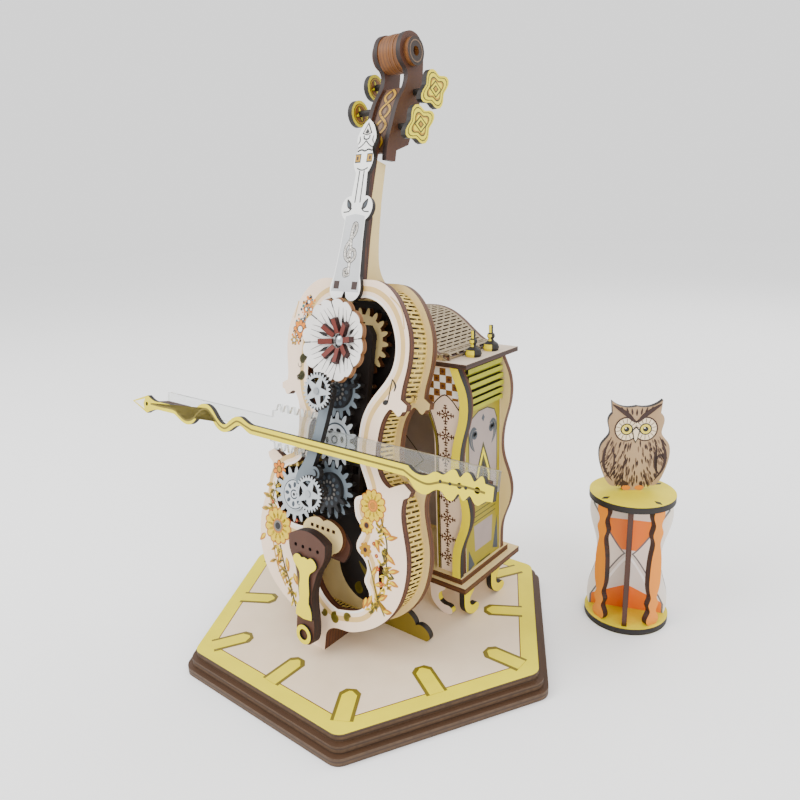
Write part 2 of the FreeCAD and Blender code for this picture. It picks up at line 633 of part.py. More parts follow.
def makeWheels():
    save("upper_gear", onCello(bigGear(upperAt, upperTeeth, upperPhase)))
    pinion = sunk(gearWire(upperAt, pinionTeeth, rearModule, pinionPhase, 0.9, 1.1, 0.84), rearFront,
                  rearFront + gearThick, [circle(*upperAt, shaftRadius)])
    save("upper_pinion", onCello(pinion))
    save("upper_driver", onCello(driver(upperAt, math.radians(20))))
    save("upper_fine_gear", onCello(fineGear(upperAt)))
    save("upper_shaft", onCello(shaft(upperAt, fineFront - 0.6, bodyDepth - 0.5)))

    middleHub = shaft(middleAt, gearFront, mechFront + ply + 2)
    save("middle_gear", onCello(group([bigGear(middleAt, middleTeeth, middlePhase), middleHub])))

    save("lower_gear", onCello(bigGear(lowerAt, lowerTeeth, lowerPhase)))
    save("lower_driver", onCello(driver(lowerAt, math.radians(200))))
    save("lower_fine_gear", onCello(fineGear(lowerAt)))
    save("lower_shaft", onCello(shaft(lowerAt, fineFront - 0.6, mechFront + ply + 2)))

    sideGear = bigGear(sideAt, sideTeeth, sidePhase)
    cap = sunk(circle(*sideAt, 7.7), gearFront - 0.8, gearFront)
    sideShaft = shaft(sideAt, gearFront, mechFront + ply + 2)
    save("side_gear", onCello(group([sideGear, cap, sideShaft])))


petalCount = 8
petalLength = 17.6
petalTiltDeg = 22.8
petalFace = -2.1  # depth of the petals' front face at the hub's rim
hubRadius = 3.0


def makeFlower():
    gear = sunk(gearWire(flowerAt, flowerTeeth, rearModule, flowerPhase, 0.9, 1.1, 0.84), rearFront,
                rearFront + gearThick, [circle(*flowerAt, shaftRadius)] + ringWindows(flowerAt, 5, 5, 9.2, 10))
    save("flower_gear", onCello(gear))
    x, s = flowerAt
    head = Part.makeSphere(4.1, V(x, s, -petalFace - 1.6)).common(boxed(-9, 9, s - 9, s + 9, -petalFace, 12))
    save("flower_shaft", onCello(fused([rod(x, s, shaftRadius, petalFace, 64.0), head])))

    reach = petalLength / math.cos(math.radians(petalTiltDeg))
    petal = loop((hubRadius - 1.6, -0.9), [(7, -2.7), (12, -5.0), (reach - 3.5, -6.7), (reach - 0.6, -5.4),
                 (reach, -3.0), (reach - 1.5, 0)], [(reach, 3.0), (reach - 0.6, 5.4), (reach - 3.5, 6.7), (12, 5.0),
                 (7, 2.7), (hubRadius - 1.6, 0.9)])
    block = polygon([(hubRadius + 1.2, -1.2), (11, -1.2), (11, 1.2), (hubRadius + 1.2, 1.2)])
    petals = []
    stamens = []
    for index in range(petalCount):
        turn = aboutZ(360 * index / petalCount + 8)
        for wire, low, high, store in ((petal, -2.0, 0.0, petals), (block, 0.0, 2.4, stamens)):
            item = moved(slab(wire, low, high), (-hubRadius, 0, 0))
            item = moved(item, (hubRadius, 0, 0), FreeCAD.Rotation(V(0, 1, 0), -petalTiltDeg))
            store.append(moved(item, (x, s, -petalFace), turn))
    hub = rod(x, s, hubRadius + 1.4, petalFace + 0.3, petalFace + 3.4)
    bloom = fused([hub] + petals).cut(rod(x, s, shaftRadius, petalFace - 8, 8))
    save("flower_petals", onCello(bloom.cut(head)))
    save("flower_stamens", onCello(group(item.cut(head) for item in stamens)))


# --- bow ---
def makeBow():
    topEdge = [(-134, 100.8), (-128, 98.6), (-122, 98.6)]
    waveTop = [(-108.5, 98.8), (-103, 96.4), (-97, 94.4), (-93, 96.2), (-88.5, 101.2), (-83.5, 103.6), (-78.5, 103.2),
               (-74, 100.2), (-69.5, 96.6), (-65.5, 95.8), (-62, 98.2), (-58, 100.8), (-54, 101.5), (-49.5, 100),
               (-45.5, 98.9)]
    frogTop = [(50, 98.9), (53, 97), (57, 96.4), (60, 97.2), (63.5, 99.2), (67, 98.8), (70, 101.2), (72.5, 101.6),
               (74.6, 99.4), (76.6, 101.6), (79, 101.4), (81, 99.2), (83.4, 101.6), (85.6, 99.4)]
    frogLow = [(84, 90.8), (81.6, 91.4), (79.6, 93.4), (77, 90.9), (74.8, 93), (72.4, 90), (69.4, 90.2), (66.4, 92.4),
               (63.4, 91.8), (60.4, 89.6), (56.4, 89.4), (53, 91.6), (50.6, 93.8), (48, 94.4)]
    waveLow = [(-45.5, 94.4), (-50, 96), (-54, 97.2), (-57.5, 96), (-61, 93.6), (-65, 92), (-70, 92.6), (-74.5, 95.6),
               (-78.5, 98.8), (-82.5, 99.4), (-86.5, 97.2), (-90.5, 93), (-94, 91), (-99, 90.9), (-104, 92.6),
               (-108.5, 94.4)]
    outline = loop((-149, 95.7), [topEdge[0]], topEdge[1:], [waveTop[0]], waveTop[1:], [frogTop[0]], frogTop[1:],
                   [(89.5, 99)], [(89.5, 93.4)], [(86.6, 93)], [frogLow[0]], frogLow[1:], [waveLow[0]], waveLow[1:],
                   [(-122, 94.2)], [(-128, 93.4), (-134, 90.8)], [(-149, 95.7)])
    holes = [circle(-134.6, 95.9, 1.1), circle(74.8, 96.2, 1.2), circle(82.6, 96.2, 1.3)]
    save("bow_stick", onCello(sunk(outline, stickFront, stickFront + stickThick, holes)))

    pitch = math.pi * driverModule
    middle = (upperAt[1] + lowerAt[1]) / 2
    half = (upperAt[1] - lowerAt[1]) / 2 - driverTip - rackGap  # rack's centre line to its tooth tips
    toothHeight = 2.25 * driverModule
    first = -39.0
    count = 6
    upperRow = []
    for index in range(count):
        x = first + index * pitch
        upperRow += [(x + 0.08 * pitch, half - toothHeight), (x + 0.30 * pitch, half), (x + 0.60 * pitch, half),
                     (x + 0.82 * pitch, half - toothHeight)]
    lowerRow = [(x, -height) for x, height in reversed(upperRow)]
    last = first + count * pitch
    barTop = 103.1 - middle
    barLow = 95.2 - middle
    ring = [(-128, barLow), (-128, barTop), (first - 2, barTop), (first - 2, half - toothHeight)]
    ring += upperRow + [(last + 1, half - toothHeight), (last + 1, barTop), (86, barTop), (86, barLow),
                        (last + 1, barLow), (last + 1, -half + toothHeight)]
    ring += lowerRow + [(first - 2, -half + toothHeight), (first - 2, barLow)]
    rack = sunk(polygon([(x, y + middle) for x, y in ring]), rackFront, rackFront + rackThick)
    save("bow_rack", onCello(rack))
    blocks = []
    for x0, x1, s0, s1 in ((-127, -106, 95.6, 98.4), (78, 84, 94.6, 99)):
        blocks.append(sunk(polygon([(x0, s0), (x1, s0), (x1, s1), (x0, s1)]), stickFront + stickThick, rackFront))
    save("bow_spacers", onCello(group(blocks)))


# --- hourglass with owl ---
def makeHourglass():
    def placed(shape):
        return moved(shape, (glassX, glassY, 0), aboutZ(glassTurnDeg))

    def standing(wire, thick, turnDeg=0.0, out=0.0):
        upright = moved(slab(wire, -thick / 2, thick / 2), (0, out, 0), uprightTurn)
        return moved(upright, (0, 0, 0), aboutZ(turnDeg))

    low = Part.makeCylinder(glassRadius, discThick)
    high = Part.makeCylinder(glassRadius, discThick, V(0, 0, glassHeight - discThick))
    save("hourglass_discs", placed(group([low, high])))

    glassTop = glassHeight - discThick
    middle = glassHeight / 2
    glass = mirroredLoop((0, discThick), [(18.4, discThick)], [(19.6, 10), (18.6, 18), (16.6, 25), (15.4, middle),
                         (16.6, 43.7), (18.6, 50.7), (19.8, 58.7), (18.6, glassTop)], [(0, glassTop)])
    wide = standing(glass, 2.4)
    cross = standing(glass, 2.4, 90).cut(standing(glass, 2.4 + 0.001))
    save("hourglass_panels", placed(group([wide, cross])))

    turned = [(2.6, discThick), (3.4, 8), (2.0, 11), (3.2, 14.6), (2.0, 18), (2.6, 21), (3.6, middle - 2), (2.6, 43),
              (2.0, 49), (3.2, 53), (2.0, 57), (3.2, 61), (2.6, glassTop)]
    post = mirroredLoop((0, discThick), [turned[0]], turned[1:], [(0, glassTop)])
    post = moved(moved(slab(post, -1.5, 1.5), (0, 0, 0), uprightTurn), (0, 0, 0), aboutZ(90))
    posts = []
    for turnDeg in (45, 135, 225, 315):
        posts.append(moved(moved(post, (postAt, 0, 0)), (0, 0, 0), aboutZ(turnDeg)))
    save("hourglass_posts", placed(group(posts)))

    foot = glassHeight
    owl = mirroredLoop((0, foot), [(4.5, foot)], [(6.6, foot + 3)], [(10.5, foot + 2.6), (14.6, foot + 9),
                       (16.8, foot + 18), (15.6, foot + 25), (12.4, foot + 29.6), (13.2, foot + 35),
                       (11.4, foot + 40)], [(12.0, foot + 46.4)], [(7.6, foot + 43.6), (0, foot + 43.4)])
    save("owl", placed(standing(owl, 3.0, owlTurnDeg, 2.0)))


os.makedirs("parts", exist_ok=True)
makeBase()
makeBody()
makeMechanismPlate()
makeNeck()
makeHead()
makeFittings()
makeCabinet()
makeMovement()
makeWheels()
makeFlower()
makeBow()
makeHourglass()
print("parts written:", len(os.listdir("parts")))
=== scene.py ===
import json
import math
import random

import bmesh
import bpy
from mathutils import Matrix, Vector


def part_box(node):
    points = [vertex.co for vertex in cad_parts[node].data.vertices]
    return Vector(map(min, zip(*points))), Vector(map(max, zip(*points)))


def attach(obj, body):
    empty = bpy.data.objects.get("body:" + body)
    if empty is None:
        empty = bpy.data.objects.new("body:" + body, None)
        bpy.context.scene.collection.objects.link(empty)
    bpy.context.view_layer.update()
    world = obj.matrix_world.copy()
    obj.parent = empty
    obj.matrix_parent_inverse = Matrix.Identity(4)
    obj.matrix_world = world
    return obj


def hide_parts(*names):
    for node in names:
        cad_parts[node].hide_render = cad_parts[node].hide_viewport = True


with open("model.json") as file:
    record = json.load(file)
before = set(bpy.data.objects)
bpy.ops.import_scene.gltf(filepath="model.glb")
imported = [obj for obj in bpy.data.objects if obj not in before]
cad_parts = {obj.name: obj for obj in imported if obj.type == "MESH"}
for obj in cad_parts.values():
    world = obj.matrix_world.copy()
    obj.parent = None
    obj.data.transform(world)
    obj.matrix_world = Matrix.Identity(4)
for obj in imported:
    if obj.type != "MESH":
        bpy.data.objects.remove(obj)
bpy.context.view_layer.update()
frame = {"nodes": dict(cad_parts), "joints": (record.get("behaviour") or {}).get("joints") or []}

print("frame loaded:", len(frame["nodes"]), "parts")

mm = 0.001
nodes = frame["nodes"]
joints = {joint["name"]: joint for joint in frame["joints"]}

# the cello's leaning frame, from the flower's spindle and the top of the base
faceOut = Vector(joints["flower_spin"]["axis"])
right = Vector((1, 0, 0))
faceUp = faceOut.cross(right)
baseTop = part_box("base_top")[1].z
spindle = Vector(joints["flower_spin"]["pos_m"])
faceFoot = spindle - faceUp * ((spindle.z - baseTop) / faceUp.z)


def plane(origin, across, up):
    # millimetres on a flat face to metres in the row frame: across, up, and height off the face
    out = Vector(across).cross(Vector(up))
    turned = Matrix((Vector(across), Vector(up), out)).transposed() * mm
    return Matrix.Translation(origin) @ turned.to_4x4()


def onPlane(base, height):
    return base @ Matrix.Translation((0, 0, height))


celloFace = plane(faceFoot, right, faceUp)
# the neck turns back from the top edge of the body
neckLook = {"foot": 171.5, "turnDeg": -5.2}
neckFace = onPlane(celloFace, 0) @ Matrix.Translation((0, neckLook["foot"], 0))
neckFace = neckFace @ Matrix.Rotation(math.radians(neckLook["turnDeg"]), 4, "X")
neckFace = neckFace @ Matrix.Translation((0, -neckLook["foot"], 0))
basePlane = plane((0, 0, baseTop), right, (0, 1, 0))
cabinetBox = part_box("cabinet_front")
ply = (cabinetBox[1].y - cabinetBox[0].y) / mm
cabinetPlane = plane((0, cabinetBox[0].y, baseTop), right, (0, 0, 1))
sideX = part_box("cabinet_side_right")[0].x + ply * mm
rightPlane = plane((sideX, 0, baseTop), (0, 1, 0), (0, 0, 1))
leftPlane = plane((-sideX, 0, baseTop), (0, -1, 0), (0, 0, 1))
backPlane = plane((0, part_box("cabinet_back")[1].y, baseTop), (-1, 0, 0), (0, 0, 1))
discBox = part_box("hourglass_discs")
glassAxis = Vector(((discBox[0].x + discBox[1].x) / 2, (discBox[0].y + discBox[1].y) / 2, 0))
glassTurn = math.radians(19)
owlTurn = glassTurn + math.radians(16)
glassAcross = Vector((math.cos(owlTurn), math.sin(owlTurn), 0))
owlPlane = plane(glassAxis, glassAcross, (0, 0, 1))
owlOut = glassAcross.cross(Vector((0, 0, 1)))


def wheelAt(name):
    # where a wheel's spindle meets the cello's face, in millimetres
    local = celloFace.inverted() @ Vector(joints[name]["pos_m"])
    return local.x, local.y


# shader helpers
tone = {"depth": 1.45, "strength": 1.3}


def colour(text):
    # a colour written as in a paint chart, as linear light, deepened because the display pales bright colours
    values = [int(text[i:i + 2], 16) / 255 for i in (1, 3, 5)]
    linear = [((v + 0.055) / 1.055) ** 2.4 if v > 0.04 else v / 12.92 for v in values]
    grey = 0.2126 * linear[0] + 0.7152 * linear[1] + 0.0722 * linear[2]
    return [max(0.0, grey + (v - grey) * tone["strength"]) ** tone["depth"] for v in linear] + [1]


def addNode(tree, kind, settings=None, inputs=None):
    made = tree.nodes.new(kind)
    for key, value in (settings or {}).items():
        setattr(made, key, value)
    for key, value in (inputs or {}).items():
        if isinstance(value, bpy.types.NodeSocket):
            tree.links.new(value, made.inputs[key])
        else:
            made.inputs[key].default_value = value
    return made


def calc(tree, operation, *values):
    inputs = {i: value for i, value in enumerate(values)}
    return addNode(tree, "ShaderNodeMath", {"operation": operation}, inputs).outputs[0]


def dot(tree, a, b):
    return addNode(tree, "ShaderNodeVectorMath", {"operation": "DOT_PRODUCT"},
                   {0: a, 1: b}).outputs["Value"]


def blendColours(tree, share, a, b):
    made = addNode(tree, "ShaderNodeMix", {"data_type": "RGBA"}, {0: share, 6: a, 7: b})
    return made.outputs[2]


def between(tree, value, low, high):
    return calc(tree, "MULTIPLY", calc(tree, "GREATER_THAN", value, low),
                calc(tree, "LESS_THAN", value, high))


def newFinish(name, roughness):
    material = bpy.data.materials.new(name)
    material.use_nodes = True
    tree = material.node_tree
    shader = tree.nodes["Principled BSDF"]
    shader.inputs["Roughness"].default_value = roughness
    coords = addNode(tree, "ShaderNodeTexCoord")
    return material, tree, shader, coords.outputs["Object"], coords.outputs["Normal"]


def noise(tree, place, scale, stretch=(1, 1, 1), detail=4):
    mapped = addNode(tree, "ShaderNodeMapping", None, {"Vector": place, "Scale": stretch}).outputs[0]
    return addNode(tree, "ShaderNodeTexNoise", None, {"Vector": mapped, "Scale": scale,
                                                      "Detail": detail}).outputs[0]


def bumpy(tree, shader, height, strength, distance):
    made = addNode(tree, "ShaderNodeBump", None, {"Height": height, "Strength": strength,
                                                  "Distance": distance})
    tree.links.new(made.outputs[0], shader.inputs["Normal"])


# plywood: a printed or stained face, and burnt edges with their layers
plyLooks = {
    "cream": {"face": "#F3E6DA", "shade": "#EAD9C8", "edge": "#4A2C18", "layer": "#8A5E38"},
    "birch": {"face": "#E2D5B6", "shade": "#D4C49C", "edge": "#4F321C", "layer": "#8F6A40"},
    "paleBase": {"face": "#EADFD0", "shade": "#E2D4C2", "edge": "#4A382A", "layer": "#8A7660"},
    "stepPly": {"face": "#6A5440", "shade": "#5A4634", "edge": "#4A382A", "layer": "#8A7660"},
    "brown": {"face": "#6A4A36", "shade": "#563A28", "edge": "#24150C", "layer": "#55341E"},
    "walnut": {"face": "#6F4A30", "shade": "#59371F", "edge": "#2C1A10", "layer": "#7E5536"},
    "yellow": {"face": "#EAE000", "shade": "#DACE00", "edge": "#150E08", "layer": "#3E2E14"},
    "greySlat": {"face": "#B6AB98", "shade": "#9F9480", "edge": "#B6AB98", "layer": "#8E836F"},
    "greyCream": {"face": "#DDD3C8", "shade": "#CFC3B6", "edge": "#3A2618", "layer": "#6B4A30"},
    "louvre": {"face": "#C2C21C", "shade": "#9C9C16", "edge": "#14100A", "layer": "#3C3712"},
    "white": {"face": "#F6F6F5", "shade": "#EEEEEC", "edge": "#120E0C", "layer": "#3A2618"},
    "olive": {"face": "#A3953A", "shade": "#877A2C", "edge": "#1E160C", "layer": "#4A3D1C"},
    "silver": {"face": "#C9CCCE", "shade": "#B4B8BB", "edge": "#17120F", "layer": "#463A30"},
    "steelGrey": {"face": "#8F969B", "shade": "#7C8388", "edge": "#14100E", "layer": "#3A3029"},
    "nightBlue": {"face": "#23282F", "shade": "#1A1E25", "edge": "#100D0C", "layer": "#2A231E"},
    "petal": {"face": "#F6F4F1", "shade": "#E3E1DF", "edge": "#7A5B40", "layer": "#B89B7C"},
    "stamen": {"face": "#86402C", "shade": "#5A3420", "edge": "#3A150D", "layer": "#5C2818"},
    "orange": {"face": "#E0A93C", "shade": "#CE9630", "edge": "#2E1A0D", "layer": "#6B4520"},
    "owlTan": {"face": "#C2B09A", "shade": "#A8947C", "edge": "#1D120B", "layer": "#4C3422"},
    "lilac": {"face": "#CFC6BE", "shade": "#C0B6AE", "edge": "#1E140B", "layer": "#4A3724"},
    "pegboxPly": {"face": "#4A3222", "shade": "#3A2618", "edge": "#6E5644", "layer": "#857060"},
    # painted shade: this dark umber look stands for the deep shade behind the gears, on the mechanism plate
    "paintedShadeUmber": {"face": "#3A2C22", "shade": "#2A1F18", "edge": "#1A120D", "layer": "#4A3626"},
    "birchBare": {"face": "#E0D09E", "shade": "#CFBC86", "edge": "#E0D09E", "layer": "#C7B27C"},
    "stackedBrown": {"face": "#4A382C", "shade": "#382A22", "edge": "#6E5036", "layer": "#A8804E"},
}
plyShape = {"layer": 1.0, "grain": 90.0, "faceLimit": 0.75, "roughness": 0.62}
axes = {"face": faceOut, "front": Vector((0, 1, 0)), "side": Vector((1, 0, 0)), "flat": Vector((0, 0, 1)),
        "owl": owlOut, "none": Vector((0, 0, 1))}


def aroundGlass(tree, place, kind):
    # radial, away from the hourglass's axis, or around it, for plates that stand like spokes
    arm = addNode(tree, "ShaderNodeVectorMath", {"operation": "SUBTRACT"},
                  {0: place, 1: glassAxis}).outputs[0]
    way = addNode(tree, "ShaderNodeVectorMath", {"operation": "MULTIPLY"},
                  {0: arm, 1: (1, 1, 0)}).outputs[0]
    if kind == "around":
        way = addNode(tree, "ShaderNodeVectorMath", {"operation": "CROSS_PRODUCT"},
                      {0: way, 1: (0, 0, 1)}).outputs[0]
    return addNode(tree, "ShaderNodeVectorMath", {"operation": "NORMALIZE"}, {0: way}).outputs[0]


def plyColours(tree, place, normal, look, axis):
    if axis in ("around", "radial"):
        direction = aroundGlass(tree, place, axis)
    else:
        direction = axes[axis]
    across = calc(tree, "ABSOLUTE", dot(tree, normal, direction))
    onFace = calc(tree, "GREATER_THAN", across, plyShape["faceLimit"])
    if axis in ("around", "radial"):
        isFlat = calc(tree, "ABSOLUTE", dot(tree, normal, (0, 0, 1)))
        onFace = calc(tree, "MULTIPLY", onFace, calc(tree, "LESS_THAN", isFlat, 0.5))
    grain = noise(tree, place, plyShape["grain"], (1, 1, 0.18), 6)
    face = blendColours(tree, grain, colour(look["face"]), colour(look["shade"]))
    depth = calc(tree, "DIVIDE", dot(tree, place, direction), plyShape["layer"] * mm)
    stripe = calc(tree, "PINGPONG", depth, 1.0)
    scorch = noise(tree, place, 380, (1, 1, 1), 3)
    edgeShare = calc(tree, "MULTIPLY", calc(tree, "SMOOTH_MIN", stripe, scorch, 0.3), 0.75)
    edge = blendColours(tree, edgeShare, colour(look["edge"]), colour(look["layer"]))
    return blendColours(tree, onFace, edge, face), onFace, grain


finishes = {}


def plyFinish(kind, axis):
    if (kind, axis) in finishes:
        return finishes[kind, axis]
    material, tree, shader, place, normal = newFinish(kind + "_" + axis, plyShape["roughness"])
    shown, onFace, grain = plyColours(tree, place, normal, plyLooks[kind], axis)
    tree.links.new(shown, shader.inputs["Base Color"])
    bumpy(tree, shader, grain, 0.12, 0.0004)
    finishes[kind, axis] = material
    return material


def metalFinish(name, tint, roughness):
    material, tree, shader, place, normal = newFinish(name, roughness)
    shader.inputs["Metallic"].default_value = 1.0
    brushed = noise(tree, place, 300, (1, 1, 0.1), 3)
    shown = blendColours(tree, brushed, colour(tint), [c * 0.8 for c in colour(tint)[:3]] + [1])
    tree.links.new(shown, shader.inputs["Base Color"])
    bumpy(tree, shader, brushed, 0.08, 0.0002)
    return material


def acrylicFinish():
    material, tree, shader, place, normal = newFinish("clearAcrylic", 0.04)
    shader.inputs["Transmission Weight"].default_value = 0.92
    shader.inputs["IOR"].default_value = 1.2
    across = calc(tree, "ABSOLUTE", dot(tree, normal, faceOut))
    frost = calc(tree, "LESS_THAN", across, 0.7)
    wisp = noise(tree, place, 60, (1, 1, 1), 2)
    pale = blendColours(tree, wisp, colour("#FDFDFC"), colour("#F4F6F6"))
    tree.links.new(blendColours(tree, frost, pale, colour("#E4E6E6")), shader.inputs["Base Color"])
    roughness = calc(tree, "MULTIPLY_ADD", frost, 0.3, 0.05)
    tree.links.new(roughness, shader.inputs["Roughness"])
    return material


# the base's top: beige inside a yellow rim with a thin brown line
rimLook = {"width": 7.6, "line": 0.5, "rim": "#EAE200", "lineColour": "#7B5A2A"}


def rimFinish():
    material, tree, shader, place, normal = newFinish("rimmedTop", plyShape["roughness"])
    shown, onFace, grain = plyColours(tree, place, normal, plyLooks["paleBase"], "flat")
    flats = []
    for degrees in (30, 90, 150):
        flat = (math.cos(math.radians(degrees)), math.sin(math.radians(degrees)), 0)
        flats.append(calc(tree, "ABSOLUTE", dot(tree, place, flat)))
    reach = calc(tree, "MAXIMUM", calc(tree, "MAXIMUM", flats[0], flats[1]), flats[2])
    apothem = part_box("base_top")[1].y
    inner = apothem - rimLook["width"] * mm
    onRim = calc(tree, "MULTIPLY", onFace, calc(tree, "GREATER_THAN", reach, inner))
    onLine = calc(tree, "MULTIPLY", onFace, between(tree, reach, inner - rimLook["line"] * mm, inner))
    rimColour = blendColours(tree, grain, colour(rimLook["rim"]), colour("#DCD200"))
    shown = blendColours(tree, onRim, shown, rimColour)
    shown = blendColours(tree, onLine, shown, colour(rimLook["lineColour"]))
    tree.links.new(shown, shader.inputs["Base Color"])
    bumpy(tree, shader, grain, 0.1, 0.0004)
    return material


# the cabinet's sides: grey below the yellow louvres
def sideFinish(louvresFrom):
    material, tree, shader, place, normal = newFinish("louvredSide", plyShape["roughness"])
    low, onFace, grain = plyColours(tree, place, normal, plyLooks["lilac"], "side")
    high = plyColours(tree, place, normal, plyLooks["louvre"], "side")[0]
    above = calc(tree, "GREATER_THAN", dot(tree, place, (0, 0, 1)), louvresFrom)
    tree.links.new(blendColours(tree, above, low, high), shader.inputs["Base Color"])
    bumpy(tree, shader, grain, 0.1, 0.0004)
    return material


# the cabinet's feet: yellow ones stand fore and aft, beige ones across
def feetFinish(acrossWithin):
    material, tree, shader, place, normal = newFinish("twoToneFeet", plyShape["roughness"])
    shown, onFace, grain = plyColours(tree, place, normal, plyLooks["yellow"], "side")
    facing = calc(tree, "GREATER_THAN", calc(tree, "ABSOLUTE", dot(tree, normal, (0, 1, 0))), 0.9)
    near = calc(tree, "LESS_THAN", calc(tree, "ABSOLUTE", dot(tree, place, (1, 0, 0))), acrossWithin)
    beige = calc(tree, "MULTIPLY", facing, near)
    shown = blendColours(tree, beige, shown, colour(plyLooks["cream"]["face"]))
    tree.links.new(shown, shader.inputs["Base Color"])
    bumpy(tree, shader, grain, 0.1, 0.0004)
    return material


# the hourglass's panels: pale glass with a grey outline and orange sand above and below
glassLook = {"waist": 2.2, "swell": 15.6, "reach": 26.0, "upperFrom": 2.0, "upperTo": 19.0,
             "moundTop": 17.0}


def glassPrintFinish():
    material, tree, shader, place, normal = newFinish("printedGlass", 0.45)
    shown, onFace, grain = plyColours(tree, place, normal, plyLooks["petal"], "around")
    arm = addNode(tree, "ShaderNodeVectorMath", {"operation": "SUBTRACT"},
                  {0: place, 1: glassAxis}).outputs[0]
    parts = addNode(tree, "ShaderNodeSeparateXYZ", None, {0: arm})
    xx = calc(tree, "MULTIPLY", parts.outputs[0], parts.outputs[0])
    radius = calc(tree, "SQRT", calc(tree, "MULTIPLY_ADD", parts.outputs[1], parts.outputs[1], xx))
    radius = calc(tree, "DIVIDE", radius, mm)
    height = calc(tree, "DIVIDE", parts.outputs[2], mm)
    middle = discBox[1].z / mm / 2
    rise = calc(tree, "SUBTRACT", height, middle)
    share = calc(tree, "DIVIDE", calc(tree, "ABSOLUTE", rise), glassLook["reach"])
    share = calc(tree, "MINIMUM", share, 1.0)
    wall = calc(tree, "MULTIPLY_ADD", calc(tree, "POWER", share, 0.85), glassLook["swell"],
                glassLook["waist"])
    inside = calc(tree, "LESS_THAN", radius, wall)
    wallLine = between(tree, calc(tree, "SUBTRACT", radius, wall), -0.45, 0.45)
    upper = calc(tree, "MULTIPLY", inside, between(tree, rise, glassLook["upperFrom"],
                                                   glassLook["upperTo"]))
    mound = calc(tree, "MULTIPLY_ADD", radius, -0.45, glassLook["moundTop"])
    lower = calc(tree, "MULTIPLY", inside, calc(tree, "LESS_THAN", height, mound))
    thread = calc(tree, "MULTIPLY", calc(tree, "LESS_THAN", radius, 0.7),
                  calc(tree, "LESS_THAN", rise, 2.0))
    glass = blendColours(tree, inside, colour("#F5F1EC"), colour("#E9E6E3"))
    shine = between(tree, calc(tree, "SUBTRACT", wall, radius), 2.0, 3.4)
    glass = blendColours(tree, shine, glass, colour("#FFFFFF"))
    glass = blendColours(tree, upper, glass, colour("#E6A24A"))
    glass = blendColours(tree, lower, glass, colour("#E29A60"))
    glass = blendColours(tree, thread, glass, colour("#E29A60"))
    glass = blendColours(tree, wallLine, glass, colour("#8A8A8C"))
    edge = blendColours(tree, grain, colour("#3E2614"), colour("#6B4526"))
    tree.links.new(blendColours(tree, onFace, edge, glass), shader.inputs["Base Color"])
    bumpy(tree, shader, grain, 0.05, 0.0003)
    return material


steel = metalFinish("steel", "#C8CACC", 0.28)
brass = metalFinish("brass", "#CDBB8A", 0.32)
acrylic = acrylicFinish()

partFinish = {
    "base_lower": ("stepPly", "flat"), "base_middle": ("stepPly", "flat"),
    "cello_front_plate": ("cream", "face"),
    # painted shade: the mechanism plate takes the dark umber look to stand for the deep shade behind the
    # gears
    "cello_back_plate": ("birch", "face"), "mechanism_plate": ("paintedShadeUmber", "face"),
    "body_spacers": ("birch", "face"),
    "neck_cheeks": ("birch", "side"), "fingerboard_backing": ("walnut", "face"),
    "fingerboard_face": ("white", "face"), "pegbox_sides": ("brown", "side"),
    "pegbox_front": ("pegboxPly", "side"),
    "scroll": ("stackedBrown", "side"), "tuning_pegs": ("yellow", "side"), "tailpiece": ("brown", "face"),
    "tailpiece_ornament": ("yellow", "face"), "bridge_plate": ("birch", "face"),
    "bridge_backing": ("brown", "face"),
    "gear_bracket": ("steelGrey", "face"), "body_support": ("olive", "front"),
    "cabinet_plinth": ("birch", "flat"),
    "cabinet_front": ("cream", "front"), "cabinet_back": ("birch", "front"),
    "cabinet_trim": ("yellow", "front"),
    "roof_plate": ("greyCream", "flat"), "barrel_roof": ("birch", "front"),
    "barrel_ends": ("birch", "front"),
    "finials": ("yellow", "front"), "flower_gear": ("birch", "face"), "flower_petals": ("petal", "face"),
    "flower_stamens": ("stamen", "face"), "upper_gear": ("steelGrey", "face"),
    "upper_pinion": ("birch", "face"),
    "upper_driver": ("nightBlue", "face"), "upper_fine_gear": ("silver", "face"),
    "middle_gear": ("silver", "face"),
    "lower_gear": ("steelGrey", "face"), "lower_driver": ("nightBlue", "face"),
    "lower_fine_gear": ("silver", "face"),
    "side_gear": ("silver", "face"), "bow_stick": ("yellow", "face"), "bow_spacers": ("walnut", "face"),
    "hourglass_discs": ("yellow", "flat"), "hourglass_posts": ("orange", "radial"),
    "owl": ("owlTan", "owl"),
}
metalParts = {"flower_shaft": steel, "upper_shaft": steel, "lower_shaft": steel, "movement_frame": brass,
              "comb": steel, "pin_cylinder": brass, "wind_key": brass, "bow_rack": acrylic}


def paint(part, material):
    mesh = nodes[part].data
    mesh.materials.clear()
    mesh.materials.append(material)


for part, (kind, axis) in partFinish.items():
    paint(part, plyFinish(kind, axis))
for part, material in metalParts.items():
    paint(part, material)
paint("base_top", rimFinish())
paint("hourglass_panels", glassPrintFinish())
louvredSide = sideFinish(baseTop + 104.6 * mm)
paint("cabinet_side_left", louvredSide)
paint("cabinet_side_right", louvredSide)
paint("cabinet_feet", feetFinish(41.4 * mm))
print("finishes on", len(nodes), "parts")

# inks for the printed pictures
inkColours = {
    "orangeInk": "#DBA150", "amberInk": "#BE9434", "tanInk": "#DCC7A0", "greyInk": "#8D8A86",
    "paleInk": "#F4F1EC",
    "oliveInk": "#8C8232", "mossInk": "#5E5B2B", "brownInk": "#4A2D1A", "blackInk": "#1C1613",
    "yellowInk": "#E0CC30",
    "goldInk": "#C0A43C", "blueInk": "#2F6E9C", "silverInk": "#D6D8DA", "creamInk": "#EFE3CF",
    "tileInk": "#94701F", "crossInk": "#6B4318", "sideInk": "#ABA21A", "ashInk": "#D3D4D5",
    "shadowInk": "#B2A8A4",
    # the dark umber ink is painted shade: inside the body behind the opening, and in the gaps and rim notches
    # of the flower's petals
    "umberInk": "#2E231C", "tealInk": "#5F8E8C", "redInk": "#A63A22", "slateInk": "#5A6168",
    "eyeInk": "#E9DC8C", "brightInk": "#EAE004", "taupeInk": "#8C7A6A",
}


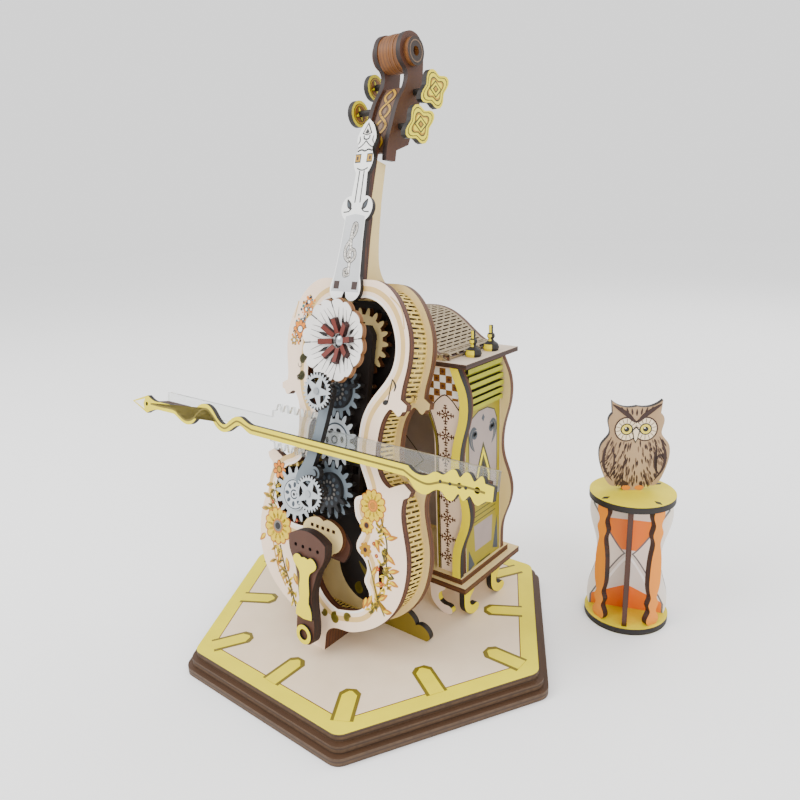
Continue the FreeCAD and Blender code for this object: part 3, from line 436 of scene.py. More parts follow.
def inkFinish(name):
    if name in finishes:
        return finishes[name]
    material, tree, shader, place, normal = newFinish(name, 0.55)
    base = colour(inkColours[name])
    mottle = noise(tree, place, 160, (1, 1, 1), 3)
    tree.links.new(blendColours(tree, mottle, base, [c * 0.82 for c in base[:3]] + [1]),
                   shader.inputs["Base Color"])
    bumpy(tree, shader, mottle, 0.05, 0.0002)
    finishes[name] = material
    return material


# drawing in a plane: every mark is (ink, outline, layer), in millimetres
def smooth(points, closed=False, steps=5):
    drawn = []
    count = len(points)
    last = count if closed else count - 1
    for i in range(last):
        if closed:
            a, b, c, d = (points[(i + k) % count] for k in (-1, 0, 1, 2))
        else:
            a, b, c, d = (points[min(max(i + k, 0), count - 1)] for k in (-1, 0, 1, 2))
        for step in range(steps):
            t = step / steps
            drawn.append(tuple(0.5 * (2 * b[k] + (c[k] - a[k]) * t
                                      + (2 * a[k] - 5 * b[k] + 4 * c[k] - d[k]) * t * t
                                      + (3 * b[k] - a[k] - 3 * c[k] + d[k]) * t ** 3) for k in (0, 1)))
    if not closed:
        drawn.append(tuple(points[-1]))
    return drawn


def alongLine(points, width, taper=False):
    # outline of a brush line through the points
    left, rightSide = [], []
    for i, (x, y) in enumerate(points):
        ax, ay = points[max(i - 1, 0)]
        bx, by = points[min(i + 1, len(points) - 1)]
        length = math.hypot(bx - ax, by - ay) or 1
        half = width / 2
        if taper:
            half *= max(0.12, math.sin(math.pi * (i + 0.5) / len(points)))
        nx, ny = -(by - ay) / length * half, (bx - ax) / length * half
        left.append((x + nx, y + ny))
        rightSide.append((x - nx, y - ny))
    return left + rightSide[::-1]


def stroke(ink, points, width, layer=0, taper=False, steps=5):
    return [(ink, alongLine(smooth(points, steps=steps), width, taper), layer)]


def line(ink, a, b, width, layer=0):
    return [(ink, alongLine([a, b], width), layer)]


def blob(ink, x, y, rx, ry=None, layer=0, turnDeg=0, sides=20):
    ry = rx if ry is None else ry
    turn = math.radians(turnDeg)
    points = []
    for k in range(sides):
        u, v = rx * math.cos(2 * math.pi * k / sides), ry * math.sin(2 * math.pi * k / sides)
        points.append((x + u * math.cos(turn) - v * math.sin(turn), y + u * math.sin(turn)
                       + v * math.cos(turn)))
    return [(ink, points, layer)]


def crossing(ink, points, width, layer=0, steps=5):
    # a line that may cross itself, in short pieces
    marks = []
    walked = smooth(points, steps=steps)
    for (ax, ay), (bx, by) in zip(walked, walked[1:]):
        length = math.hypot(bx - ax, by - ay)
        ux, uy = (bx - ax) / length * width * 0.3, (by - ay) / length * width * 0.3
        marks += line(ink, (ax - ux, ay - uy), (bx + ux, by + uy), width, layer)
    return marks


def box2d(ink, x0, x1, y0, y1, layer=0):
    return [(ink, [(x0, y0), (x1, y0), (x1, y1), (x0, y1)], layer)]


def leaf(ink, x, y, length, width, turnDeg, layer=0):
    turn = math.radians(turnDeg)
    shape = [(0, 0), (0.3, 0.42), (0.6, 0.4), (1, 0), (0.6, -0.4), (0.3, -0.42)]
    points = []
    for u, v in smooth(shape, closed=True, steps=3):
        u, v = u * length, v * width
        points.append((x + u * math.cos(turn) - v * math.sin(turn), y + u * math.sin(turn)
                       + v * math.cos(turn)))
    return [(ink, points, layer)]


def bloom(x, y, radius, petals, petalInk, rimInk, heartInk, layer=0):
    marks = []
    for k in range(petals):
        turn = 360 * k / petals
        far = 0.62 * radius
        px, py = x + far * math.cos(math.radians(turn)), y + far * math.sin(math.radians(turn))
        marks += blob(rimInk, px, py, 0.42 * radius, 0.30 * radius, layer, turn, 12)
        marks += blob(petalInk, px, py, 0.34 * radius, 0.22 * radius, layer + 1, turn, 12)
    marks += blob(rimInk, x, y, 0.40 * radius, None, layer + 2)
    marks += blob(heartInk, x, y, 0.30 * radius, None, layer + 3)
    return marks


def curl(ink, x, y, radius, turns, width, startDeg=0, layer=0, taper=True):
    points = []
    count = max(8, int(turns * 14))
    for k in range(count + 1):
        share = k / count
        angle = math.radians(startDeg) + 2 * math.pi * turns * share
        points.append((x + radius * (1 - 0.85 * share) * math.cos(angle),
                       y + radius * (1 - 0.85 * share) * math.sin(angle)))
    return [(ink, alongLine(points, width, taper), layer)]


def mirrored(marks, axisX=0.0):
    return marks + [(ink, [(2 * axisX - x, y) for x, y in reversed(points)], layer)
                    for ink, points, layer in marks]


inkDepth = {"sunk": 0.03, "first": 0.04, "step": 0.035}


def raiseMark(bm, points, low, high, slot):
    area = sum(a[0] * b[1] - b[0] * a[1] for a, b in zip(points, points[1:] + points[:1]))
    if area < 0:
        points = points[::-1]
    bottom = [bm.verts.new((x, y, low)) for x, y in points]
    top = [bm.verts.new((x, y, high)) for x, y in points]
    faces = [bm.faces.new(top), bm.faces.new(bottom[::-1])]
    for i in range(len(points)):
        j = (i + 1) % len(points)
        faces.append(bm.faces.new((bottom[i], bottom[j], top[j], top[i])))
    for face in faces:
        face.material_index = slot


def bend(mesh, path):
    # wraps a flat print round a path of (depth, height) points: its own height runs along the path
    for vertex in mesh.vertices:
        x, along, high = vertex.co
        for a, b in zip(path, path[1:]):
            length = math.dist(a, b)
            if along <= length:
                break
            along -= length
        ux, uz = (b[0] - a[0]) / length, (b[1] - a[1]) / length
        vertex.co = (x, a[0] + along * ux - high * uz, a[1] + along * uz + high * ux)


def printMarks(name, body, place, marks, path=None):
    # one thin mesh of all a picture's marks, each layer a little higher than the one under it
    inks = sorted({ink for ink, points, layer in marks})
    bm = bmesh.new()
    for ink, points, layer in marks:
        high = inkDepth["first"] + inkDepth["step"] * layer
        raiseMark(bm, points, -inkDepth["sunk"], high, inks.index(ink))
    bmesh.ops.triangulate(bm, faces=[face for face in bm.faces if len(face.verts) > 4])
    mesh = bpy.data.meshes.new(name)
    bm.to_mesh(mesh)
    bm.free()
    if path:
        bend(mesh, path)
    mesh.transform(place)
    for ink in inks:
        mesh.materials.append(inkFinish(ink))
    piece = bpy.data.objects.new(name, mesh)
    bpy.context.scene.collection.objects.link(piece)
    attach(piece, body)
    return piece


def faceLoops(part, out, height=None):
    # closed outlines of a part's faces that look along out, as lists of points in the row frame
    bm = bmesh.new()
    bm.from_mesh(nodes[part].data)
    bmesh.ops.remove_doubles(bm, verts=bm.verts, dist=1e-6)
    bm.faces.ensure_lookup_table()
    chosen = [f for f in bm.faces if f.normal.dot(out) > 0.99]
    if height is not None:
        chosen = [f for f in chosen if abs(f.calc_center_median().dot(out) - height) < 2e-5]
    inside = set(chosen)
    following = {}
    for face in chosen:
        for edgeLoop in face.loops:
            if sum(1 for f in edgeLoop.edge.link_faces if f in inside) == 1:
                following.setdefault(edgeLoop.vert.index, []).append(edgeLoop.link_loop_next.vert.index)
    bm.verts.ensure_lookup_table()
    loops = []
    while following:
        start = next(iter(following))
        chain = [start]
        here = start
        while here in following:
            there = following[here].pop()
            if not following[here]:
                del following[here]
            if there == start:
                break
            chain.append(there)
            here = there
        loops.append([bm.verts[i].co.copy() for i in chain])
    bm.free()
    return loops


def inPlane(place, points):
    back = place.inverted()
    return [tuple((back @ p)[:2]) for p in points]


def evenly(points, spacing):
    # points at even steps along a closed outline
    walked = []
    carried = 0.0
    for a, b in zip(points, points[1:] + points[:1]):
        length = math.dist(a, b)
        while carried < length:
            t = carried / length
            walked.append((a[0] + (b[0] - a[0]) * t, a[1] + (b[1] - a[1]) * t))
            carried += spacing
        carried -= length
    return walked


def beside(points, distance):
    # outline moved sideways, to the left of its way round when positive, without the folds at its corners
    moved = []
    count = len(points)
    for i, (x, y) in enumerate(points):
        ax, ay = points[i - 1]
        bx, by = points[(i + 1) % count]
        length = math.hypot(bx - ax, by - ay) or 1
        moved.append((x - (by - ay) / length * distance, y + (bx - ax) / length * distance))
    limit = abs(distance) * 0.97
    return [p for p in moved if min(math.dist(p, q) for q in points) >= limit]


def ringMark(bm, points, width, low, high, slot):
    # a closed band along an outline
    count = len(points)
    ring = []
    for i, (x, y) in enumerate(points):
        ax, ay = points[i - 1]
        bx, by = points[(i + 1) % count]
        length = math.hypot(bx - ax, by - ay) or 1
        nx, ny = -(by - ay) / length * width / 2, (bx - ax) / length * width / 2
        ring.append([bm.verts.new((x + s * nx, y + s * ny, h))
                     for s, h in ((1, low), (-1, low), (-1, high), (1, high))])
    for i in range(count):
        a, b = ring[i], ring[(i + 1) % count]
        for k in range(4):
            m = (k + 1) % 4
            bm.faces.new((a[k], b[k], b[m], a[m])).material_index = slot


def printBands(name, body, place, bands):
    # closed bands of ink: (ink, outline, width, layer)
    inks = sorted({band[0] for band in bands})
    bm = bmesh.new()
    for ink, points, width, layer in bands:
        ringMark(bm, points, width, -inkDepth["sunk"], inkDepth["first"] + inkDepth["step"] * layer,
                 inks.index(ink))
    bmesh.ops.recalc_face_normals(bm, faces=bm.faces)
    mesh = bpy.data.meshes.new(name)
    bm.to_mesh(mesh)
    bm.free()
    mesh.transform(place)
    for ink in inks:
        mesh.materials.append(inkFinish(ink))
    piece = bpy.data.objects.new(name, mesh)
    bpy.context.scene.collection.objects.link(piece)
    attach(piece, body)
    return piece


# the cello's printed front
celloPrint = {"bandAway": 4.0, "bandWidth": 2.3, "bandInk": "tanInk", "highlightAway": 0.7,
              "highlightWidth": 0.9}
opening = sorted(faceLoops("cello_front_plate", faceOut), key=len)
opening = max((loop for loop in opening if max(p.x for p in loop) < 0.034), key=len)
openingRound = evenly(inPlane(celloFace, opening), 1.6)
inward = sum(a[0] * b[1] - b[0] * a[1] for a, b in zip(openingRound, openingRound[1:] + openingRound[:1]))
sense = 1 if inward < 0 else -1
bands = [(celloPrint["bandInk"], beside(openingRound, sense * celloPrint["bandAway"]),
          celloPrint["bandWidth"], 0),
         ("paleInk", beside(openingRound, sense * celloPrint["highlightAway"]),
          celloPrint["highlightWidth"], 1)]
printBands("front_bands", "root", celloFace, bands)

front = []
# jewelled clasp, upper left
for x, s, radius in ((-24, 160, 2.6), (-25.5, 156.5, 2.2), (-22.4, 156.6, 2.0)):
    front += bloom(x, s, radius, 6, "orangeInk", "greyInk", "paleInk", 2)
front += bloom(-28.5, 147, 4.6, 8, "orangeInk", "slateInk", "paleInk", 2)
front += bloom(-32, 141.5, 2.4, 6, "goldInk", "greyInk", "paleInk", 2)
chance = random.Random(11)
for k in range(90):  # filigree round the clasp
    along = chance.uniform(0, 1)
    x, s = -23.4 - 8.0 * along + chance.uniform(-3.4, 3.4), 162.5 - 22 * along + chance.uniform(-1.6, 1.6)
    ink = ("orangeInk", "slateInk", "goldInk", "tealInk", "brownInk")[k % 5]
    front += blob(ink, x, s, chance.uniform(0.35, 0.8), layer=1 + k % 4, sides=7)
for x, s in ((-26.2, 153.2), (-27.2, 151.6), (-30.8, 144.4)):
    front += blob("slateInk", x, s, 0.8, layer=3) + blob("paleInk", x, s, 0.4, layer=4)
for x, s, turn in ((-25, 133, 20), (-25.5, 126, 200)):  # pen curls under the clasp
    front += curl("mossInk", x, s, 3.2, 1.1, 0.7, turn, 2)
    front += curl("greyInk", x - 1.5, s - 2.4, 1.8, 0.9, 0.5, turn + 140, 2)
front += blob("blackInk", 26.6, 120.2, 1.5, 1.1, 3, 25)
front += line("blackInk", (27.8, 120.6), (29.2, 130.6), 0.5, 3)
front += stroke("blackInk", [(29.2, 130.6), (31.2, 128), (30.6, 125.4)], 0.9, 3, True)
front += stroke("tanInk", [(33, 152), (30.5, 160), (24, 165)], 0.6, 1)
front += stroke("tanInk", [(-33, 152), (-31, 160)], 0.6, 1)

front += bloom(-35.5, 78, 4.6, 7, "orangeInk", "brownInk", "goldInk", 3)  # rose at the left hip
front += bloom(-31, 72.5, 3.0, 6, "goldInk", "brownInk", "orangeInk", 2)
front += stroke("mossInk", [(-35, 74), (-38, 66), (-39, 58), (-36, 52)], 0.8, 1)
for x, s, turn in ((-39, 70, 200), (-40.5, 63, 170), (-34, 65, 20), (-41, 57, 190), (-33, 70, 320)):
    front += leaf("goldInk", x, s, 5.4, 2.6, turn, 2) + leaf("oliveInk", x, s, 3.6, 1.2, turn, 3)
front += bloom(-33.5, 50, 9.2, 13, "yellowInk", "amberInk", "greyInk", 4)  # the big sunflower
front += blob("blackInk", -33.5, 50, 1.7, layer=9)
for x, s, turn, size in ((-25, 61, 60, 7), (-28, 60, 110, 6), (-42, 44, 230, 6), (-24, 42, 330, 7),
                         (-22, 48, 20, 6),
                         (-30, 38, 260, 8), (-26, 36, 290, 7), (-20, 30, 300, 6)):
    front += leaf("amberInk", x, s, size, 3.0, turn, 2) + leaf("yellowInk", x, s, size * 0.7, 1.5, turn, 3)
front += stroke("mossInk", [(-31, 41), (-27, 32), (-22, 24), (-17, 14)], 0.9, 1)
front += stroke("oliveInk", [(-25, 45), (-19, 34), (-15.5, 22), (-14, 16)], 0.8, 1)
front += stroke("goldInk", [(-36, 41), (-32, 31), (-25, 22)], 0.7, 1)
for x, s, turn in ((-28, 34, 200), (-24, 28, 220), (-20, 22, 230), (-17, 30, 30), (-16, 22, 10),
                   (-33, 33, 210)):
    front += leaf("goldInk", x, s, 5.2, 2.0, turn, 2) + leaf("mossInk", x, s, 3.2, 0.8, turn, 3)

# flowers at the right of the opening
front += bloom(25, 74.5, 7.2, 12, "yellowInk", "amberInk", "orangeInk", 4)
front += blob("amberInk", 25, 74.5, 1.6, layer=9)
front += bloom(22.5, 65, 4.0, 9, "yellowInk", "amberInk", "brownInk", 3)
front += bloom(23, 54, 3.4, 8, "goldInk", "amberInk", "brownInk", 3)
front += stroke("mossInk", [(30, 70), (34.5, 60), (35.5, 50), (40, 46)], 0.8, 1)
front += stroke("oliveInk", [(25, 50), (28, 44), (32, 35), (37, 28)], 0.8, 1)
front += stroke("goldInk", [(29, 48), (30, 40), (35, 31), (40, 30)], 0.7, 1)
for x, s, turn, size in ((31, 66, 340, 6), (34, 62, 20, 6.5), (35, 55, 330, 6), (37, 48, 20, 6),
                         (38, 44, 350, 5),
                         (28, 60, 300, 6), (28, 44, 60, 6), (30, 40, 20, 6.5), (33, 34, 40, 6),
                         (29, 35, 250, 7),
                         (26, 33, 260, 6), (36, 30, 10, 5)):
    front += leaf("amberInk", x, s, size, 2.6, turn, 2) + leaf("yellowInk", x, s, size * 0.65, 1.2, turn, 3)
for x, s in ((27.4, 58), (29.5, 53), (31, 47.5), (33.5, 41.5), (-21, 56), (-25.5, 54), (-38.5, 61),
             (-18.6, 38)):
    front += blob("redInk", x, s, 0.9, layer=4) + blob("goldInk", x, s, 0.45, layer=5)
for trail in (((25, 74), (30, 64), (33, 54), (36, 44), (33, 34), (30, 28)),
              ((-36, 70), (-38, 60), (-37, 50), (-32, 38), (-25, 27), (-19, 17))):
    for x, s in smooth(trail, steps=9):  # small leaves crowd along the stems
        for k in range(2):
            turn = chance.uniform(0, 360)
            u, v = x + chance.uniform(-1.8, 1.8), s + chance.uniform(-1.2, 1.2)
            ink = ("goldInk", "yellowInk", "oliveInk")[chance.randrange(3)]
            front += leaf(ink, u, v, 3.4, 1.5, turn, 1) + leaf("mossInk", u, v, 2.0, 0.35, turn, 2)
for x, s, radius, turn in ((9, 17.5, 3.2, 90), (16, 20, 2.6, 30), (-9, 18, 3.0, 120), (2, 18, 2.2, 200)):
    front += curl("oliveInk", x, s, radius, 1.3, 0.8, turn, 2)
printMarks("front_flowers", "root", celloFace, front)
print("cello's front printed:", len(front), "marks")

# painted shade: a dark sheet the shape of the opening on the inside of the back plate stands for the shade
# inside the body; the stained leaves on it are seen through the opening
backFace = onPlane(celloFace, -16.8)
# painted shade: the dark fill inside the opening's outline
inner = [("umberInk", [openingRound[k] for k in range(0, len(openingRound), 2)], 0)]
inner += stroke("oliveInk", [(28, 36), (20, 33), (12, 35), (6, 40)], 3.2, 1, True)
inner += stroke("goldInk", [(27, 37), (20, 34.5), (12, 36.5)], 1.2, 2, True)
for turn in (60, 84, 108, 132):
    inner += leaf("blueInk", 15, 42, 15, 5.0, turn, 1) + leaf("slateInk", 15, 42, 11, 1.6, turn, 2)
inner += blob("blueInk", 16, 44, 3.6, 2.8, 3)
inner += curl("oliveInk", 18, 31, 3.0, 1.4, 0.9, 0, 3) + curl("oliveInk", 8, 27, 3.4, 1.2, 0.9, 90, 3)
printMarks("inner_panel_print", "root", backFace, inner)

# neck and head
fingerFace = onPlane(neckFace, 2.2)
clefLook = {"s": 184.0, "height": 23.5, "width": 1.1}
clef = [(0.9, -12.5), (-1.6, -13.2), (-2.2, -10.8), (-0.6, -10.2), (0.6, -12.0), (0.2, -2), (-0.6, 7),
        (0.4, 12.6),
        (2.0, 12.2), (1.9, 8.6), (-1.2, 4.2), (-3.4, 0.2), (-2.6, -4.2), (0.8, -6.0), (3.4, -3.6),
        (2.6, -0.6),
        (-0.2, -0.2), (-1.3, -2.8), (0.2, -4.2)]
size = clefLook["height"] / 27
clef = [(x * size, clefLook["s"] + y * size) for x, y in clef]
greyPart = [(-8.2, 165.4), (8.2, 165.4), (7.1, 173), (5.9, 188), (5.5, 198.6), (0, 199.6), (-5.5, 198.6),
            (-5.9, 188),
            (-7.1, 173)]
neck = [("ashInk", greyPart, 0)] + crossing("greyInk", clef, clefLook["width"] + 0.7, 1)
neck += crossing("paleInk", clef, clefLook["width"], 2)
neck += mirrored(line("blackInk", (1.5, 204.5), (1.3, 218.4), 0.55, 1))
neck += mirrored(leaf("blackInk", 3.4, 201.4, 5.4, 2.8, 62, 1)
                 + leaf("slateInk", 4.2, 202.4, 3.0, 1.2, 62, 2))
neck += mirrored(stroke("blackInk", [(7.4, 200.4), (4.4, 200.7), (2.8, 202.2)], 0.5, 1, steps=3))
neck += stroke("blackInk", [(-3.1, 219.6), (0, 218.6), (3.1, 219.6)], 0.5, 1, steps=3)
neck += mirrored(box2d("blackInk", 1.7, 4.9, 222.0, 225.8, 1) + box2d("goldInk", 2.1, 4.7, 222.5, 225.3, 2)
                 + box2d("brownInk", 3.0, 4.1, 223.1, 224.7, 3))
neck += stroke("blackInk", [(-4.2, 226.9), (-2, 227.6), (0, 227.0), (2, 227.6), (4.2, 226.9)], 0.7, 1,
               steps=3)
neck += mirrored(stroke("blackInk", [(0, 231.4), (2.2, 229.4), (4.2, 228.4)], 0.5, 1, steps=3))
neck += mirrored(stroke("blackInk", [(4.6, 230.0), (3.6, 231.6), (4.0, 233.6)], 0.6, 1, True, 3))
neck += mirrored(stroke("blackInk", [(0, 232.0), (1.4, 232.4), (1.7, 233.8)], 0.6, 1, steps=3))
neck += [("blackInk", [(-2.8, 234.6), (0, 233.7), (2.8, 234.6), (0, 239.6)], 1),
         ("paleInk", [(-2.0, 234.8), (0, 234.2), (2.0, 234.8), (0, 238.4)], 2),
         ("blackInk", [(-1.3, 234.9), (0, 234.4), (1.3, 234.9), (0, 236.8)], 3)]
neck += mirrored(box2d("brownInk", 3.7, 6.9, 166.5, 170.0, 1))
printMarks("fingerboard_print", "root", fingerFace, neck)

# tuning pegs: two round ones at the left, printed on both sides, and two ornate ones at the right
pegThick = 2.6
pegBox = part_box("tuning_pegs")
leftPegs = ((34.9, 251.1), (22.9, 239.0))  # depth and height over the base's top
rightPegs = ((33.4, 246.4), (21.8, 231.4))


def pegShape(u, z, scale, flip):
    points = []
    turn = math.radians(24)
    for k in range(32):
        angle = math.radians(11.25 * k)
        wide = (9.6 + 1.9 * math.cos(4 * angle)) * math.cos(angle) * scale
        tall = (6.9 + 1.4 * math.cos(4 * angle)) * math.sin(angle) * scale
        points.append((u + flip * (wide * math.cos(turn) - tall * math.sin(turn)),
                       z + wide * math.sin(turn) + tall * math.cos(turn)))
    return points


for name, x, flip, places in (("left_out", pegBox[0].x, -1, leftPegs),
                              ("left_in", pegBox[0].x + pegThick * mm, 1, leftPegs),
                              ("right", pegBox[1].x, 1, rightPegs)):
    marks = []
    for y, z in places:
        u = y * flip
        if name == "right":
            for scale, ink, layer in ((0.86, "mossInk", 0), (0.8, "brightInk", 1), (0.62, "mossInk", 2),
                                      (0.55, "goldInk", 3), (0.47, "brightInk", 4)):
                marks.append((ink, pegShape(u, z, scale, flip), layer))
            for reach, ink, layer in ((3.6, "mossInk", 5), (2.8, "brightInk", 6), (1.7, "mossInk", 7),
                                      (1.0, "goldInk", 8)):
                marks.append((ink, [(u - 1.3 * reach, z), (u, z - reach), (u + 1.3 * reach, z),
                                    (u, z + reach)], layer))
        else:
            marks += blob("mossInk", u, z, 4.5, layer=0, sides=32)
            marks += blob("goldInk", u, z, 4.2, layer=1, sides=32)
            marks += blob("mossInk", u, z, 3.5, layer=2, sides=32)
            marks += blob("tileInk", u, z, 3.3, layer=3, sides=32)
            for turn in range(0, 360, 90):
                marks += leaf("mossInk", u, z, 3.5, 2.2, turn + 20, 4)
                marks += leaf("brightInk", u, z, 3.2, 1.3, turn + 20, 5)
    printMarks("peg_print_" + name, "root", plane((x, 0, baseTop), (0, flip, 0), (0, 0, 1)), marks)

# the pegbox's curved front carries an interlaced ribbon
lacePath = set()
for polygon in nodes["pegbox_front"].data.polygons:
    if polygon.normal.y < -0.3 and abs(polygon.normal.x) < 0.3:
        for index in polygon.vertices:
            spot = nodes["pegbox_front"].data.vertices[index].co
            lacePath.add((round(spot.y / mm, 3), round((spot.z - baseTop) / mm, 3)))
lacePath = sorted(lacePath, key=lambda point: point[1])
laceLength = sum(math.dist(a, b) for a, b in zip(lacePath, lacePath[1:]))
lace = {"waves": 4.0, "swing": 2.7, "width": 1.1}
ribbon = []
for k in range(30):
    a, b = laceLength * (0.02 + 0.032 * k), laceLength * (0.02 + 0.032 * (k + 1))
    ribbon += mirrored(box2d("brownInk", 4.2, 5.0, a, b, 0))
for phase, first in ((0.0, 1), (math.pi, 3)):
    points = []
    for k in range(49):
        t = k / 48
        points.append((lace["swing"] * math.sin(phase + t * lace["waves"] * math.pi),
                       (0.03 + 0.94 * t) * laceLength))
    ribbon += crossing("brownInk", points, lace["width"] + 0.8, first, 1)
    ribbon += crossing("goldInk", points, lace["width"], first + 1, 1)
for k in range(4):
    ribbon += blob("taupeInk", 0, laceLength * (0.03 + 0.94 * (k + 0.5) / 4), 0.9, 1.5, 2)
printMarks("pegbox_ribbon", "root", Matrix.Translation((0, 0, baseTop)) @ Matrix.Scale(mm, 4), ribbon,
           lacePath)

# the scroll's right-hand cheek
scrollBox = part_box("scroll")
cheekPlane = plane((scrollBox[1].x, 0, baseTop), (0, 1, 0), (0, 0, 1))
cheek = []
for k in range(24):
    a = math.radians(15 * k)
    cheek += line("taupeInk", (32.0 + 4.4 * math.cos(a), 262.8 + 4.4 * math.sin(a)),
                  (32.0 + 4.4 * math.cos(a + 0.27), 262.8 + 4.4 * math.sin(a + 0.27)), 0.5, 0)
printMarks("scroll_print", "root", cheekPlane, cheek)
print("neck and head printed")

# the bow's centre line
bowFace = onPlane(celloFace, 11.4)
bowLine = {"ink": "oliveInk", "width": 0.9}
wave = [(-131, 96.4), (-122, 96.4), (-109, 96.6), (-104, 94.6), (-98, 92.7), (-92, 94.2), (-86, 99.6),
        (-80.5, 101.3),
        (-75.5, 98.8), (-70, 95), (-65.2, 93.9), (-61, 96.2), (-56, 99), (-50, 97.8), (-45, 96.6)]
bow = stroke(bowLine["ink"], wave, bowLine["width"], 0)
bow += line(bowLine["ink"], (-45, 96.6), (48, 96.6), bowLine["width"], 0)
frogWave = [(48, 96.6), (54, 94.4), (60, 93.6), (66, 95.6), (71, 96), (79, 96.4), (86, 96)]
bow += stroke(bowLine["ink"], frogWave, bowLine["width"], 0)
bow += [("paleInk", [(-147, 95.7), (-136.6, 92.8), (-138, 95.7), (-136.6, 98.7)], 0)]
for x in (66, 70.5, 77.6):
    bow += blob("blackInk", x, 96.0, 0.7, layer=1)
printMarks("bow_line", "bow", bowFace, bow)

# cabinet
crossLook = {"x": 33.4, "heights": (30.5, 41, 51.5, 62, 72.5, 83, 93.5, 104), "size": 4.6,
             "ink": "crossInk"}


def fleurCross(x, z, size, ink, layer=0):
    marks = []
    for turn in range(0, 360, 90):
        ux, uz = math.cos(math.radians(turn)), math.sin(math.radians(turn))
        marks += line(ink, (x, z), (x + size * ux, z + size * uz), size * 0.13, layer)
        for reach, half in ((0.97, 0.17), (0.7, 0.27)):
            cx, cz = x + size * reach * ux, z + size * reach * uz
            side = half * size
            marks += line(ink, (cx - side * uz, cz + side * ux), (cx + side * uz, cz - side * ux),
                          size * 0.14, layer)
        slant = math.radians(turn + 45)
        ax, az = x + 0.5 * size * math.cos(slant), z + 0.5 * size * math.sin(slant)
        marks += line(ink, (x, z), (ax, az), size * 0.11, layer)
        marks += blob(ink, ax, az, size * 0.14, layer=layer, sides=8)
    marks += blob(ink, x, z, size * 0.24, layer=layer + 1, sides=12)
    return marks + blob("creamInk", x, z, size * 0.1, layer=layer + 2, sides=8)


def heightAt(line2d, x):
    # height of a line, given from left to right, at x
    for (ax, az), (bx, bz) in zip(line2d, line2d[1:]):
        if ax <= x <= bx:
            return az + (bz - az) * (x - ax) / (bx - ax)
    return line2d[-1][1]


# checker tiles above a bell-shaped line and the arch
tileLook = {"size": 3.4, "columns": 13, "rows": 6, "top": 126.2}
bell = smooth([(22.5, 106.6), (26, 107.6), (29.2, 111), (33.4, 113.6), (37.6, 111), (40.6, 107.6),
               (43, 106)], steps=3)
archTop = [(0, 119.4), (10, 117.6), (17, 112.6), (22.4, 106.4)]
cabinetMarks = stroke("brownInk", bell, 0.6, 1, steps=1)
for z in crossLook["heights"]:
    cabinetMarks += fleurCross(crossLook["x"], z, crossLook["size"], crossLook["ink"])
for row in range(tileLook["rows"]):
    for column in range(tileLook["columns"]):
        x0, z1 = tileLook["size"] * column, tileLook["top"] - tileLook["size"] * row
        x1, z0 = x0 + tileLook["size"], z1 - tileLook["size"]
        x1 = min(x1, 42.0 if z0 < 119 else 39.6)
        limit = archTop + bell
        lowest = max(heightAt(limit, x0), heightAt(limit, min(x1, 42.5)),
                     heightAt(limit, (x0 + x1) / 2)) + 0.2
        z0 = max(z0, lowest)
        if x1 - x0 > 0.4 and z1 - z0 > 0.4:
            ink = "tileInk" if (row + column) % 2 else "paleInk"
            cabinetMarks += box2d(ink, x0, x1, z0, z1, 0)
            if ink == "tileInk" and z1 - z0 > 3:
                cabinetMarks += blob("crossInk", (x0 + x1) / 2, (z0 + z1) / 2, 0.9, layer=1, sides=4)
cabinetMarks += stroke("oliveInk", [(28.2, 23), (28.2, 60), (28.2, 88), (26.6, 97), (23.6, 105)], 1.3, 0,
                       steps=3)
cabinetMarks += stroke("brownInk", [(29.2, 23), (29.2, 60), (29.2, 88), (27.4, 98), (24.6, 105.4)], 0.5, 1,
                       steps=3)
printMarks("cabinet_front_print", "root", cabinetPlane, mirrored(cabinetMarks))

# painted shade: a grey sheet with black lines on the inside of the back wall, seen through the arch and clear
# of the shaft, stands for the shade inside the cabinet
innerBack = plane((0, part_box("cabinet_back")[0].y, baseTop), right, (0, 0, 1))
wall = box2d("shadowInk", -36, 36, 24, 98) + box2d("shadowInk", -36, 36, 110, 124)
wall += mirrored(box2d("shadowInk", 5, 36, 98, 110))
for x0, z0, x1, z1 in ((-30, 40, -6, 62), (-6, 62, -28, 84), (8, 40, 30, 66), (30, 66, 10, 90)):
    wall += line("blackInk", (x0, z0), (x1, z1), 0.6, 1)
printMarks("cabinet_inner_wall", "root", innerBack, wall)

# the sides: an arched grey field with a pointed window and two comma scrolls in a yellow border
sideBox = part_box("cabinet_side_right")
y0, y1 = sideBox[0].y / mm + 0.4, sideBox[1].y / mm - 0.4
mid = (y0 + y1) / 2
sideMarks = box2d("sideInk", y0, y1, 21, 104.6, 0)
outer = [(y0 + 2.6, 56), (y1 - 2.6, 56), (y1 - 2.6, 96), (y1 - 5, 101), (mid + 4, 103.6), (mid - 4, 103.6),
         (y0 + 5, 101),
         (y0 + 2.6, 96)]
sideMarks += [("mossInk", outer, 1),
              ("shadowInk", [(mid + (y - mid) * 0.955, 80 + (z - 80) * 0.975) for y, z in outer], 2)]
window = [(mid - 7, 57), (mid + 7, 57), (mid + 7, 70), (mid + 3.6, 79), (mid, 87), (mid - 3.6, 79),
          (mid - 7, 70)]
for shrink, ink, layer in ((1.0, "mossInk", 3), (0.86, "brightInk", 4), (0.68, "mossInk", 5),
                           (0.52, "blackInk", 6)):
    sideMarks += [(ink, [(mid + (y - mid) * shrink, 66 + (z - 66) * shrink) for y, z in window], layer)]
sideMarks += line("oliveInk", (mid, 60), (mid, 74), 0.7, 7)
